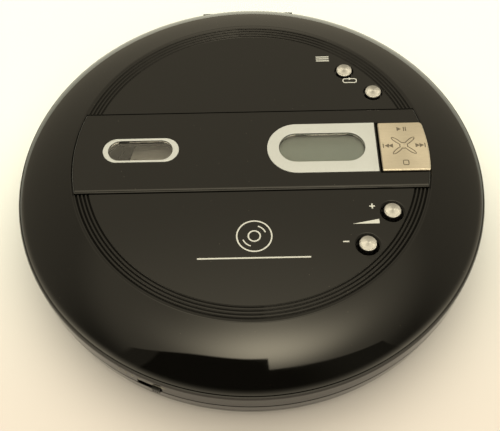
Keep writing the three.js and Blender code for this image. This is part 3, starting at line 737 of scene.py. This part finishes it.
def lid_shell():
    outer = [point for point in shoulder(48) if point[1] > LID_LOW_Z + 0.05]
    inner = [point for point in shoulder(20, WALL) if point[1] > LID_LOW_Z + 0.1]
    lip_r = outer[-1][0]
    lip = [(lip_r + 0.04, LID_LOW_Z), (lip_r + 0.02, LID_LOW_Z - 0.06), (lip_r - 0.3, LID_LOW_Z - 0.06),
           (lip_r - 0.4, LID_LOW_Z), (inner[-1][0] + 0.1, LID_LOW_Z)]
    ridge = [(RECESS_R - 0.42, TOP_Z), (RECESS_R - 0.36, TOP_Z + 0.02), (RECESS_R - 0.03, TOP_Z + 0.24),
             (RECESS_R + 0.07, TOP_Z + 0.29), (RECESS_R + 0.14, TOP_Z + 0.3)]
    shell = revolve([(0, TOP_Z)] + ring_grooves() + ridge + outer + lip + inner[::-1]
                    + [(RECESS_R - 2.5, SKIN_Z), (0, SKIN_Z)])
    bosses = [rod(2.2, (PLATE_TOP_Z + 0.2, SKIN_Z + 0.4), at) for at in LID_SCREWS]
    rib = block((-17, 17), (66.2, 69.2), (LID_LOW_Z, LID_LOW_Z + 1.6), 0.2)
    outline = revolve([(0, 0), (CASE_R - 0.05, 0), (CASE_R - 0.05, LID_LOW_Z)] + outer[::-1] + [(0, TOP_Z)])
    barrels = join(hinge_barrel(-16, -LUG_X - 0.4), hinge_barrel(LUG_X + 0.4, 16), rib)
    shell = join(shell, combine(barrels, [outline], "INTERSECT"), *bosses)
    display_low, display_high = DISPLAY_OPENING
    cutters = [
        lying(1.62, (-LUG_X - 0.3, LUG_X + 0.3), HINGE_AT),
        lying(PIN_HOLE_R, (-14.6, 14.6), HINGE_AT),
        prism(bar(BAND_R + 0.22, BAND_LOW[1] - 0.22, BAND_HIGH[1] + 0.6), POCKET_Z, ABOVE),
        prism(pill(*WINDOW_OPENING), 20, ABOVE),
        block((display_low[0] - 2.1, display_high[0] + 2.2), (display_low[1] - 2.5, display_high[1] + 2.4),
              (20, ABOVE)),
    ]
    cutters += [rod(0.8, (20, SKIN_Z + 0.6), at) for at in LID_SCREWS]
    for node_name, r in BUTTONS.items():
        at = middle(node_name)[:2]
        dish = [(0, TOP_Z - 1.2), (r - 0.15, TOP_Z - 1.2), (r, TOP_Z - 1.05), (r, TOP_Z - 0.3)]
        if r > CONE_FROM_R:
            dish = [(0, TOP_Z - 1.6), (2.15, TOP_Z - 1.6), (r - 0.3, TOP_Z - 0.45), (r - 0.1, TOP_Z - 0.25)]
        dish += [(r + 0.08, TOP_Z - 0.1), (r + 0.3, TOP_Z + 0.02), (r + 0.3, ABOVE), (0, ABOVE)]
        cutters.append(revolve(dish, 64, at))
        cutters.append(rod(1.6, (20, ABOVE), at))
    piece(cut(shell, *cutters), "lid_shell")


def upper_case():
    groove = CASE_SEAM_Z + 0.45
    wall = [(CASE_R - 1.2, CASE_SEAM_Z + 0.15), (CASE_R - 1.2, groove), (CASE_R - 0.1, groove),
            (CASE_R - 0.03, groove + 0.07), (CASE_R - 0.02, 15.0)]
    curve = [(r - 0.02, z) for r, z in shoulder(48)[::-1] if z < RIM_Z - 0.08]
    wall += curve + [(curve[-1][0] - 0.06, RIM_Z - 0.01), (curve[-1][0] - 0.2, RIM_Z)]
    well = [(WELL_R + 1.1, RIM_Z), (WELL_R + 0.75, RIM_Z - 0.1), (WELL_R + 0.3, RIM_Z - 0.45),
            (WELL_R, RIM_Z - 0.9), (WELL_R, DECK_Z + 0.6), (WELL_R - 0.2, DECK_Z + 0.15),
            (WELL_R - 0.6, DECK_Z), (0, DECK_Z)]
    under = [(0, DECK_UNDER_Z), (WELL_R + 0.7, DECK_UNDER_Z), (WELL_R + 1.2, RIM_UNDER_Z),
             (CASE_R - 2.2, RIM_UNDER_Z), (CASE_R - 2.2, CASE_SEAM_Z + 0.15)]
    shell = revolve(wall + well + under)
    roof = 17.3
    hump = block((-BAY_X - 1.6, BAY_X + 1.6), (BAY_Y[0] - 1.6, BAY_Y[1] + 1.4), (3.1, roof + 0.8), 0.5, 3)
    hinge_block = block((-21, 21), (63.4, 66.6), (CASE_SEAM_Z + 0.3, RIM_UNDER_Z + 0.3))
    hinge_floor = block((-21, 21), (66.3, 68.6), (CASE_SEAM_Z + 0.3, 12.8))
    shell = join(shell, hump, hinge_block, hinge_floor)
    keep = join(block((-LUG_X, LUG_X), (66.3, HINGE_AT[0]), (12, RIM_Z)), hinge_barrel(-LUG_X, LUG_X, 1.5))
    slider = from_front("open_slider")
    cutters = [
        block((-BAY_X, BAY_X), BAY_Y, (2, roof)),
        rod(6.2, (12, 16), (0, 0), 0, 96),
        prism(softened(LENS_SLOT, [1.2] * 4), 12, 16),
        cut(lying(4.0, (-24, 24), HINGE_AT, "X", 0, 64), keep),
        turned_to(block((-3.7, 3.8), (-74, -69), (CASE_SEAM_Z - 1, 13.5), 0.35), slider),
        turned_to(block((-5.3, 1.4), (-66.5, -63.6), (12, 18)), slider),
        jack_bore(2.4, OUTSIDE, -69, from_front("headphone_jack")),
        jack_bore(2.4, OUTSIDE, -69, from_front("dc_jack")),
        turned_to(block((-3.6, 3.6), (OUTSIDE, -69), (11.9, 14.1), 0.3), from_front("hold_switch")),
        rod(1.1, (12, 18), middle("lid_switch")[:2]),
    ]
    shell = cut(shell, *cutters)
    web = block((-LUG_X, LUG_X), (66.3, HINGE_AT[0]), (12.5, RIM_Z), 0.15)
    pin_hole = lying(PIN_HOLE_R, (-LUG_X - 1, LUG_X + 1), HINGE_AT)
    lug = cut(join(web, hinge_barrel(-LUG_X, LUG_X, 1.5)), pin_hole)
    piece(join(shell, lug), "upper_case")


def lower_case():
    low = CASE_LOW_Z
    top = CASE_SEAM_Z - 0.15
    start, bend, end = (66.5, low + 0.06), (71.1, low + 0.35), (71.75, 4.4)
    outer = [(0, low), (64.5, low), start]
    for i in range(1, 13):
        t = i / 12
        weights = ((1 - t) ** 2, 2 * (1 - t) * t, t * t)
        outer.append(tuple(sum(w * p[k] for w, p in zip(weights, (start, bend, end))) for k in (0, 1)))
    groove = [(71.9, 5.9), (71.4, 5.9), (71.4, 6.4), (71.97, 6.4)]
    lip = [(72.05, 6.5), (72.42, top - 0.45), (72.41, top - 0.1), (72.35, top - 0.05), (71.2, top - 0.05),
           (71.2, top)]
    inner = [(70.2, top), (69.8, 4.8), (68.8, 3.4), (66.6, 2.6), (0, 2.6)]
    screws = [middle(f"case_screw_{i}")[:2] for i in FOUR]
    feet = [middle(f"rubber_foot_{i}")[:2] for i in FOUR]
    shell = join(revolve(outer + groove + lip + inner), *[rod(2.8, (2.4, 9.9), at) for at in screws])
    cutters = [rod(2.1, (0.5, 2.4), at) for at in screws]
    cutters += [rod(1.1, (2, 11), at) for at in screws]
    cutters += [rod(4.3, (0.5, 1.8), at) for at in feet]
    cutters.append(block((-BAY_X, BAY_X), BAY_Y, (0.5, 3)))
    cutters += [lying(PIN_HOLE_R, (x - 1.6, x + 1.6), (DOOR_HIGH[1] - 0.7, 1.8)) for x in (-31, 31)]
    piece(cut(shell, *cutters), "lower_case")


def well_plate():
    """A round silver-grey plate on the deck, round the turntable."""
    plate = rod(39.6, (DECK_Z + 0.02, DECK_Z + 0.42), (0, 0), 0.12, 128)
    hump = block((DOOR_LOW[0] - 1.2, DOOR_HIGH[0] + 1.2), (DOOR_LOW[1] - 2.4, 60), (10, 20))
    slot_room = softened(rectangle(0, -43, 14.56, 55), [1.6] * 4)
    plate = cut(plate, rod(7.4, (10, 20), (0, 0), 0, 96), prism(slot_room, 10, 20), hump)
    extra(plate, "well_plate", "base", "grey_plastic", MATERIALS["well_grey"])


# -------- band, window and display
def band_panel():
    z0 = BAND_LOW[2]
    y0, y1 = BAND_LOW[1], BAND_HIGH[1]
    steps = [(0, z0), (0, BAND_Z - 0.8), (0.08, BAND_Z - 0.55), (0.22, BAND_Z - 0.31), (0.4, BAND_Z - 0.14),
             (0.62, BAND_Z - 0.04), (0.85, BAND_Z)]
    panel = loft([(bar(BAND_R - inset, y0 + inset, y1 - inset), z) for inset, z in steps])
    window_room = prism(pill(*WINDOW, 0.15), 20, ABOVE)
    display_room = prism(bullet(*DISPLAY, 0.15), 20, ABOVE)
    key_room = block((KEY_LOW[0] - 0.5, 80), (KEY_LOW[1] - 0.4, KEY_HIGH[1] + 0.4), (20, ABOVE))
    piece(cut(panel, window_room, display_room, key_room), "band_panel")


def frame_ring(node, outer, outer_shape, opening):
    """A silver surround with a black lining inside its opening."""
    low, high = span(node)
    z0, z1 = low[2], high[2]

    def rim(grow):
        return outer_shape(*outer, grow)

    def hole(grow):
        return pill(*opening, grow)

    outside = [(rim(0), z0), (rim(0), z1 - 0.14), (rim(-0.05), z1 - 0.05), (rim(-0.16), z1)]
    inside = [(hole(0.2), z1), (hole(0.12), z1 - 0.04), (hole(0.06), z1 - 0.12), (hole(0.32), z1 - 0.22),
              (hole(0.32), z0)]
    piece(loft(outside + inside, True), node)
    lining = [(hole(0.3), z0), (hole(0.3), z1 - 0.24), (hole(0.02), z1 - 0.24), (hole(0.02), z0)]
    extra(loft(lining, True), node + "_lining", "lid", "matte_black")


def lens_plate(node, opening):
    """The clear plate is thinner than its surround, and sits just under the rim."""
    top = span(node)[1][2] - 0.05
    steps = [(0.04, top - 0.55), (0.04, top - 0.06), (0.07, top - 0.02), (0.14, top)]
    piece(loft([(pill(*opening, -inset), z) for inset, z in steps]), node)


def display_module():
    low, high = span("display_module")
    glass = block((low[0] + 0.8, high[0] - 0.8), (low[1] + 0.8, high[1] - 0.8), (24.5, high[2]), 0.12)
    body = block((low[0], high[0]), (low[1], high[1]), (low[2], 24.6), 0.1)
    piece(join(glass, body), "display_module")


def key_plate():
    """The four-way key: a brushed plate with a four-armed figure and four transport signs cut into it."""
    r = KEY_HIGH[0]
    x0, y0, y1 = KEY_LOW[0], KEY_LOW[1], KEY_HIGH[1]
    top = KEY_HIGH[2]

    def outline(inset):
        """Square at the left, round at the right, with each corner rounded."""
        reach = r - inset
        low, high = asin((y0 + inset) / reach), asin((y1 - inset) / reach)
        side = arc(0, 0, reach, low + 1.2 / reach, high - 1.9 / reach, 20)
        near, far = [(reach * cos(a), reach * sin(a)) for a in (low, high)]
        points = [near] + side + [far, (x0 + inset, y1 - inset), (x0 + inset, y0 + inset)]
        radii = [0.8 - inset] + [0] * len(side) + [1.3 - inset, 0.6 - inset, 0.6 - inset]
        return softened(points, radii, 5)

    steps = [(0, TOP_Z + 0.35), (0, top - 0.42), (0.08, top - 0.22), (0.22, top - 0.08), (0.42, top)]
    plate = loft([(outline(inset), z) for inset, z in steps])
    x, y = KEY_MIDDLE
    pegs = [rod(0.8, (POCKET_Z + 0.5, TOP_Z + 0.6), at, 0, 24)
            for at in ((x - 5.4, y), (x + 5.4, y), (x, y - 6.5), (x, y + 6.5))]
    piece(cut(join(plate, *pegs), *key_signs(top - 0.16, top + 0.5)), "key_plate", 25)
    inlay = key_signs(top - 0.25, top - 0.09)
    extra(join(inlay[0], *inlay[1:]), "key_signs", "key_plate", "matte_black", MATERIALS["engraving"])


def stroke(points, width, z0, z1, closed=False):
    """A line of that width along points, as a plate."""
    left, right = [], []
    count = len(points)
    for i, point in enumerate(points):
        here = Vector(point)
        before = Vector(points[i - 1]) if i or closed else here
        after = Vector(points[(i + 1) % count]) if i + 1 < count or closed else here
        along = ((here - before).normalized() + (after - here).normalized()).normalized()
        side = Vector((-along.y, along.x)) * width / 2
        left.append(tuple(here + side))
        right.append(tuple(here - side))
    if closed:
        return loft([(left, z0), (left, z1), (right, z1), (right, z0)], True)
    return prism(left + right[::-1], z0, z1)


def key_signs(z0, z1):
    """A four-armed figure, with play and pause behind it, stop before it, and a skip sign at each side."""
    x, y = KEY_MIDDLE

    def triangle(dx, dy=0.0, way=1):
        tip, foot = x + dx + way * 0.65, x + dx - way * 0.75
        return prism([(foot, y + dy - 0.8), (tip, y + dy), (foot, y + dy + 0.8)], z0, z1)

    def upright(dx, dy=0.0, wide=0.32):
        return prism(rectangle(x + dx, y + dy, wide, 1.6), z0, z1)

    arms = []
    for i in range(96):
        a = tau * i / 96
        reach = 1.05 + 3.3 * max(0.0, cos(4 * (a - tau / 8))) ** 2.2
        arms.append((x + 1.12 * reach * cos(a), y + reach * sin(a)))
    square = softened(rectangle(x, y - 6.3, 1.6, 1.6), [0.35] * 4)
    return [
        stroke(arms, 0.3, z0, z1, True),
        triangle(-0.75, 6.3), upright(0.65, 6.3), upright(1.25, 6.3),
        triangle(4.3), triangle(5.55), triangle(-4.0, way=-1), triangle(-5.2, way=-1),
        upright(6.46), upright(-6.2, wide=0.3),
        stroke(square, 0.3, z0, z1, True),
    ]


def round_button(node):
    x, y, _ = middle(node)
    low, high = span(node)
    top = high[2]
    r = (high[0] - low[0]) / 2 - 0.08
    cap = [(0, 24.0), (2.1, 24.0), (2.1, 24.35), (1.2, 24.4), (1.2, 25.9), (r - 0.1, 25.9), (r, 26.0),
           (r, top - 0.75)]
    for i in range(1, 13):
        a = QUARTER_TURN * i / 12
        cap.append((r - 0.55 * (1 - cos(a)), top - 0.75 + 0.58 * sin(a)))
    cap += [(r - 0.8, top - 0.11), (r - 1.15, top - 0.05), (0.6, top - 0.02), (0, top)]
    piece(revolve(cap, 64, (x, y)), node, 40, spun_metal(node + "_metal", x, y))


# -------- printed signs
def ink_mark(name, shapes):
    extra(join(shapes[0], *shapes[1:]), name, "lid", "silver_paint", MATERIALS["ink"])


def lid_marks():
    z0, z1 = TOP_Z - 0.05, TOP_Z + 0.02

    def box(x, y, wide, high):
        return prism(rectangle(x, y, wide, high), z0, z1)

    def ring(r, start=0.0, sweep=tau, width=0.42):
        """A line round the middle of the disc sign, closed if it goes all the way."""
        whole = sweep == tau
        points = arc(0.5, -27.8, r, start, start + sweep, 72 if whole else 16)
        return stroke(points[:-1] if whole else points, width, z0, z1, whole)

    ink_mark("plus_sign", [box(35.0, -18.5, 1.6, 0.42), box(35.0, -18.5, 0.42, 1.7)])
    ink_mark("minus_sign", [box(26.5, -30.2, 1.7, 0.42)])
    ink_mark("volume_ramp", [prism([(28.9, -24.4), (36.6, -24.4), (36.6, -22.9)], z0, z1)])
    ink_mark("list_sign", [box(24.2, 39.2 + dy, 4.2, 0.42) for dy in (-0.85, 0, 0.85)])
    loop = softened(rectangle(32.45, 29.6, 4.3, 1.6), [0.75] * 4)
    arrow = prism([(32.2, 29.85), (33.2, 30.4), (32.2, 30.95)], z0, z1)
    ink_mark("repeat_sign", [stroke(loop, 0.34, z0, z1, True), arrow])
    glints = [ring(3.4, start, 0.9, 0.36) for start in (0.35, 0.35 + pi)]
    ink_mark("disc_sign", [ring(5.0), ring(1.7)] + glints)
    ink_mark("rule_sign", [box(0.3, -34.9, 32.0, 0.45)])


def wall_mark(name, outlines, azimuth, z):
    """Flat outlines of (along the wall, up) laid on the round wall."""
    bm = bmesh.new()
    for outline in outlines:
        rows = []
        for r in (CASE_R - 0.05, CASE_R + 0.02):
            row = []
            for u, v in outline:
                a = radians(azimuth) + u / CASE_R
                row.append(bm.verts.new((r * cos(a), r * sin(a), z + v)))
            bm.faces.new(row)
            rows.append(row)
        bridge(bm, *rows)
    extra(object_from(bm), name, "base", "silver_paint", MATERIALS["ink_dim"])


def wall_marks():
    """Four bars and an arrow that points the way the slider goes."""
    bars = [rectangle(u, 0, 0.6, 1.7) for u in (-9.5, -7.4, -5.3, -3.2)]
    arrow = [rectangle(1.1, 0, 4.6, 0.56), [(3.4, -1.0), (5.4, 0), (3.4, 1.0)]]
    wall_mark("slider_sign", bars + arrow, -113.5, 14.4)


# -------- small outside pieces
def open_slider():
    turn = from_front("open_slider")
    knob = block((0.9, 3.4), (-73.3, -69.0), (11.0, 13.2), 0.22, 3)
    grips = [block((x - 0.12, x + 0.12), (-73.6, -73.12), (11.3, 12.9)) for x in (1.55, 2.15, 2.75)]
    plate = block((-4.2, 4.8), (-69.4, -68.2), (11.0, 13.2), 0.1)
    arm = block((-1.2, 0.8), (-69, -64), (11.4, 13.0), 0.1)
    post = block((-1.2, 0.8), (-66.0, -64), (11.4, 18.5), 0.12)
    nose = block((0.5, 1.9), (-66.0, -64), (17.9, 18.5), 0.12)
    piece(turned_to(join(cut(knob, *grips), plate, arm, post, nose), turn), "open_slider")


def hold_switch():
    knob = block((-3.2, -0.2), (-73.0, -69), (12.2, 13.8), 0.15)
    ridges = [block((x - 0.18, x + 0.18), (-73.4, -72.8), (12.3, 13.7), 0.1) for x in (-2.6, -1.7, -0.8)]
    plate = block((-4.6, 1.4), (-69.8, -68.8), (11.2, 14.4), 0.1)
    piece(turned_to(join(knob, plate, *ridges), from_front("hold_switch")), "hold_switch")


def jack_bore(r, y0, y1, turn=0.0, edge=0.0, segments=48):
    """A round bar towards the middle at a jack's height, drawn at the front and turned to its place."""
    return lying(r, (y0, y1), (0, JACK_Z), "Y", edge, segments, turn)


def jack(node, tail, contact):
    turn = from_front(node)
    body = block((-3.5, 3.5), (-69.9, -64.6), (10.9, 15.0), 0.15)
    back = block((-3.0, 3.0), (-65, -tail), (10.9, 12.7), 0.15)
    collar = jack_bore(2.1, -71.6, -69, edge=0.25)
    mouth = jack_bore(1.75, OUTSIDE, -65.6)
    piece(turned_to(cut(join(body, back, collar), mouth), turn), node)
    extra(turned_to(contact, turn), node + "_contact", "base", "brass")


def jacks():
    ring_contact = cut(jack_bore(1.74, -70.9, -70.0), jack_bore(1.5, OUTSIDE, -65, segments=32))
    jack("headphone_jack", 56, ring_contact)
    jack("dc_jack", 58, jack_bore(0.55, -70.6, -65.7, edge=0.2, segments=24))


def rubber_foot(i):
    x, y, _ = middle(f"rubber_foot_{i}")
    foot = [(0, 0), (3.3, 0), (3.6, 0.06), (3.85, 0.25), (4.0, 0.6), (4.0, 1.6), (0, 1.6)]
    piece(revolve(foot, 48, (x, y)), f"rubber_foot_{i}")


def cross_slots(x, y, reach, half, z):
    """The two slots of a cross-head screw."""
    return [block((x - a, x + a), (y - b, y + b), z) for a, b in ((reach, half), (half, reach))]


def case_screw(i):
    x, y, _ = middle(f"case_screw_{i}")
    head = [(0, 1.4), (1.2, 1.4), (1.55, 1.48), (1.75, 1.62), (1.8, 1.75), (1.8, 2.3), (0.8, 2.3),
            (0.8, 12.4), (0, 12.4)]
    piece(cut(revolve(head, 40, (x, y)), *cross_slots(x, y, 1.2, 0.22, (1.0, 1.85))), f"case_screw_{i}")


def battery_door():
    low, high = DOOR_LOW, DOOR_HIGH
    x = high[0] - 1.5
    hinge = (high[1] - 0.7, 1.8)
    plate = block((-x, x), (low[1], hinge[0] - 1.0), (low[2], 2.2), 0.18, 3)
    barrel = lying(0.7, (-x, x), hinge, edge=0.1)
    web = block((1.7 - x, x - 1.7), (hinge[0] - 1.3, hinge[0]), (1.4, 2.2))
    stubs = lying(0.45, (low[0], high[0]), hinge, edge=0.08)
    thumb = block((-5, 5), (low[1] + 2.2, low[1] + 3.9), (0.5, 1.3), 0.2)
    grips = [block((-7, 7), (low[1] + dy - 0.22, low[1] + dy + 0.22), (0.5, 1.15)) for dy in (5.2, 6.4, 7.6)]
    piece(cut(join(plate, barrel, web, stubs), thumb, *grips), "battery_door")


def cell_spring(i):
    """A conical coil of wire."""
    low, high = span(f"cell_spring_{i}")
    y = (low[1] + high[1]) / 2
    start = DOOR_LOW[0] + 1.85
    turns, steps, sides, wire_r = 3, 120, 12, 0.34
    bm = bmesh.new()
    rings = []
    for k in range(steps + 1):
        t = k / steps
        a = tau * turns * t
        r = 3.58 - 1.6 * t
        centre = Vector((start + 4.15 * t, y + r * cos(a), CELL_Z + r * sin(a)))
        out = Vector((0, cos(a), sin(a)))
        spokes = [tau * m / sides for m in range(sides)]
        rings.append([bm.verts.new(centre + wire_r * (cos(b) * out + Vector((sin(b), 0, 0))))
                      for b in spokes])
    for low_ring, high_ring in zip(rings, rings[1:]):
        bridge(bm, low_ring, high_ring)
    bm.faces.new(rings[0])
    bm.faces.new(rings[-1])
    piece(object_from(bm), f"cell_spring_{i}", 60)


def cell_contact():
    low, high = span("cell_contact")
    plate = block(*zip(low, high), 0.08)
    dimples = [lying(3.0, (low[0] - 0.01, low[0] + 0.2), (y, CELL_Z), edge=0.15) for y in (31, 46)]
    piece(cut(plate, *dimples), "cell_contact")


# -------- inside
def turntable():
    top = span("turntable")[1][2]
    hub = [(1.05, 12.9), (4.6, 12.9), (4.6, 16.4), (11.5, 17.6), (12.8, 18.1), (13.0, 18.4),
           (13.0, DISC_Z - 0.1), (12.9, DISC_Z), (12.6, DISC_Z), (12.6, DISC_Z - 0.2),
           (8.6, DISC_Z - 0.2), (8.6, DISC_Z), (7.35, DISC_Z), (7.35, 20.15), (7.2, 20.5), (6.7, 20.75),
           (6.2, top), (2.2, top), (2.0, top - 0.3), (1.05, top - 0.3)]
    pockets = [lying(1.25, (-8, -4.6), (0, 20.05), "Y", 0, 32, radians(a + 90)) for a in (0, 120, 240)]
    piece(cut(revolve(hub, 96), *pockets), "turntable")
    mat = [(8.7, DISC_Z - 0.19), (12.5, DISC_Z - 0.19), (12.5, DISC_Z - 0.02), (8.7, DISC_Z - 0.02)]
    extra(revolve(mat, 96), "turntable_mat", "spindle", "rubber")
    piece(rod(0.75, (8, 20.4), (0, 0), 0.15, 32), "spindle_shaft")
    for i in (1, 2, 3):
        bm = bmesh.new()
        bmesh.ops.create_uvsphere(bm, u_segments=32, v_segments=20, radius=0.9)
        bmesh.ops.translate(bm, vec=middle(f"catch_ball_{i}"), verts=bm.verts)
        piece(object_from(bm), f"catch_ball_{i}", 60)


def pickup():
    x, y, _ = middle("lens_holder")
    low, high = span("lens_holder")
    body = block(*zip(low, high), 0.35, 3)
    step = cut(block((low[0] - 1, high[0] + 1), (low[1] - 1, high[1] + 1), (high[2] - 0.7, high[2] + 1)),
               rod(3.4, (0, 30), (x, y)))
    piece(cut(body, step, rod(2.5, (10, 16), (x, y), 0, 48)), "lens_holder")
    z0, z1 = span("objective_lens")[0][2], span("objective_lens")[1][2]
    lens = [(0, z0), (1.1, z0 + 0.05), (2.2, z0 + 0.2), (2.2, z1 - 1.0)]
    for i in range(1, 10):
        a = QUARTER_TURN * i / 10
        lens.append((1.95 * cos(a), z1 - 0.95 + 0.95 * sin(a)))
    piece(revolve(lens + [(0, z1)], 48, (x, y)), "objective_lens", 40)
    low, high = span("pickup_sled")
    x0, x1 = low[0] + 2.6, high[0] - 2.6
    left = block((low[0], x0 + 2.6), (y - 6.5, y + 6.5), (low[2], high[2]), 0.4, 3)
    right = block((x1 - 2.6, high[0]), (y - 4.5, y + 4.5), (low[2], high[2]), 0.4, 3)
    bridge_plate = block((x0, x1), (y - 5.7, y + 5.7), (low[2], 10.6), 0.2)
    magnets = [block((x - 6.2, x + 6.2), (at - 0.7, at + 0.7), (10.3, high[2]), 0.15)
               for at in (y - 5, y + 5)]
    bores = [lying(1.65, (y - 10, y + 10), (at, 10.2), "Y", 0, 32) for at in (x0, x1)]
    piece(cut(join(left, right, bridge_plate, *magnets), *bores), "pickup_sled")


def rods():
    x, _, z = middle("guide_rod")
    low, high = span("guide_rod")
    piece(lying(1.25, (low[1], high[1]), (x, z), "Y", 0.2, 32), "guide_rod")
    x, _, z = middle("lead_screw")
    start, end = span("lead_screw")[0][1], span("lead_screw")[1][1]
    worm = [(0, start)]
    pitch = 2.0
    count = int((-13.0 - start) / pitch)
    for k in range(count):
        at = start + k * pitch
        worm += [(0.95, at + 0.02), (0.95, at + 0.9), (1.25, at + 1.2), (1.25, at + 1.7)]
    worm += [(1.0, start + count * pitch + 0.1), (1.0, end - 2.2), (2.5, end - 2.2), (2.5, end - 0.2),
             (1.25, end - 0.2), (1.25, end), (0, end)]
    screw = revolve(worm, 40)
    screw.data.transform(Matrix.Translation((x, 0, z)) @ Matrix.Rotation(-QUARTER_TURN, 4, "X"))
    piece(screw, "lead_screw")


def lid_inside():
    z0, z1 = PLATE_Z, PLATE_TOP_Z
    profile = [(9.5, z1), (9.5, z0 + 0.3), (9.8, z0)]
    for r in (29.5, 45.5):
        profile += [(r - 0.5, z0), (r - 0.3, z0 + 0.25), (r + 0.3, z0 + 0.25), (r + 0.5, z0)]
    profile += [(57.2, z0), (57.9, z0 + 0.15), (58.3, z0 + 0.5), (58.3, z1)]
    low, high = WINDOW_OPENING
    window_hole = prism(pill(low, (high[0], high[1] + 5), 1), 20, 24)
    counterbores = [rod(1.7, (20, z0 + 0.9), at) for at in LID_SCREWS]
    holes = [rod(1.0, (20, 24), at) for at in LID_SCREWS]
    piece(cut(revolve(profile), window_hole, *counterbores, *holes), "lid_inner_plate")
    for i, (x, y) in enumerate(LID_SCREWS):
        screw = join(rod(1.35, (z0 + 0.2, z0 + 0.8), (x, y), 0.15, 32),
                     rod(0.7, (z0 + 0.6, SKIN_Z + 0.2), (x, y), 0, 16))
        piece(cut(screw, *cross_slots(x, y, 0.9, 0.2, (20, z0 + 0.5))), f"lid_screw_{i + 1}")
    web = block((3.4, 4.6), (-66.0, -64.0), (17.1, 18.6), 0.1)
    ledge = block((2.2, 3.6), (-66.0, -64.0), (17.1, 17.7), 0.12)
    foot = block((3.4, 7.5), (-64.6, -64.0), (17.4, 19.2), 0.08)
    piece(turned_to(join(web, ledge, foot), from_front("open_slider")), "lid_catch")
    plunger = [(0, 11.5), (0.8, 11.5), (0.8, 17.95), (0.72, 18.25), (0.5, 18.45), (0, 18.5)]
    piece(revolve(plunger, 32, middle("lid_switch")[:2]), "lid_switch")
    for i in (1, 2):
        low, high = span(f"hinge_pin_{i}")
        piece(lying(0.6, (low[0], high[0]), HINGE_AT, edge=0.1), f"hinge_pin_{i}")


lid_shell()
upper_case()
lower_case()
well_plate()
band_panel()
frame_ring("window_frame", WINDOW, pill, WINDOW_OPENING)
frame_ring("display_frame", DISPLAY, bullet, DISPLAY_OPENING)
lens_plate("window_lens", WINDOW_OPENING)
lens_plate("display_lens", DISPLAY_OPENING)
display_module()
key_plate()
for button in BUTTONS:
    round_button(button)
lid_marks()
wall_marks()
open_slider()
hold_switch()
jacks()
for number in FOUR:
    rubber_foot(number)
    case_screw(number)
battery_door()
for number in (1, 2):
    cell_spring(number)
cell_contact()
turntable()
pickup()
rods()
lid_inside()
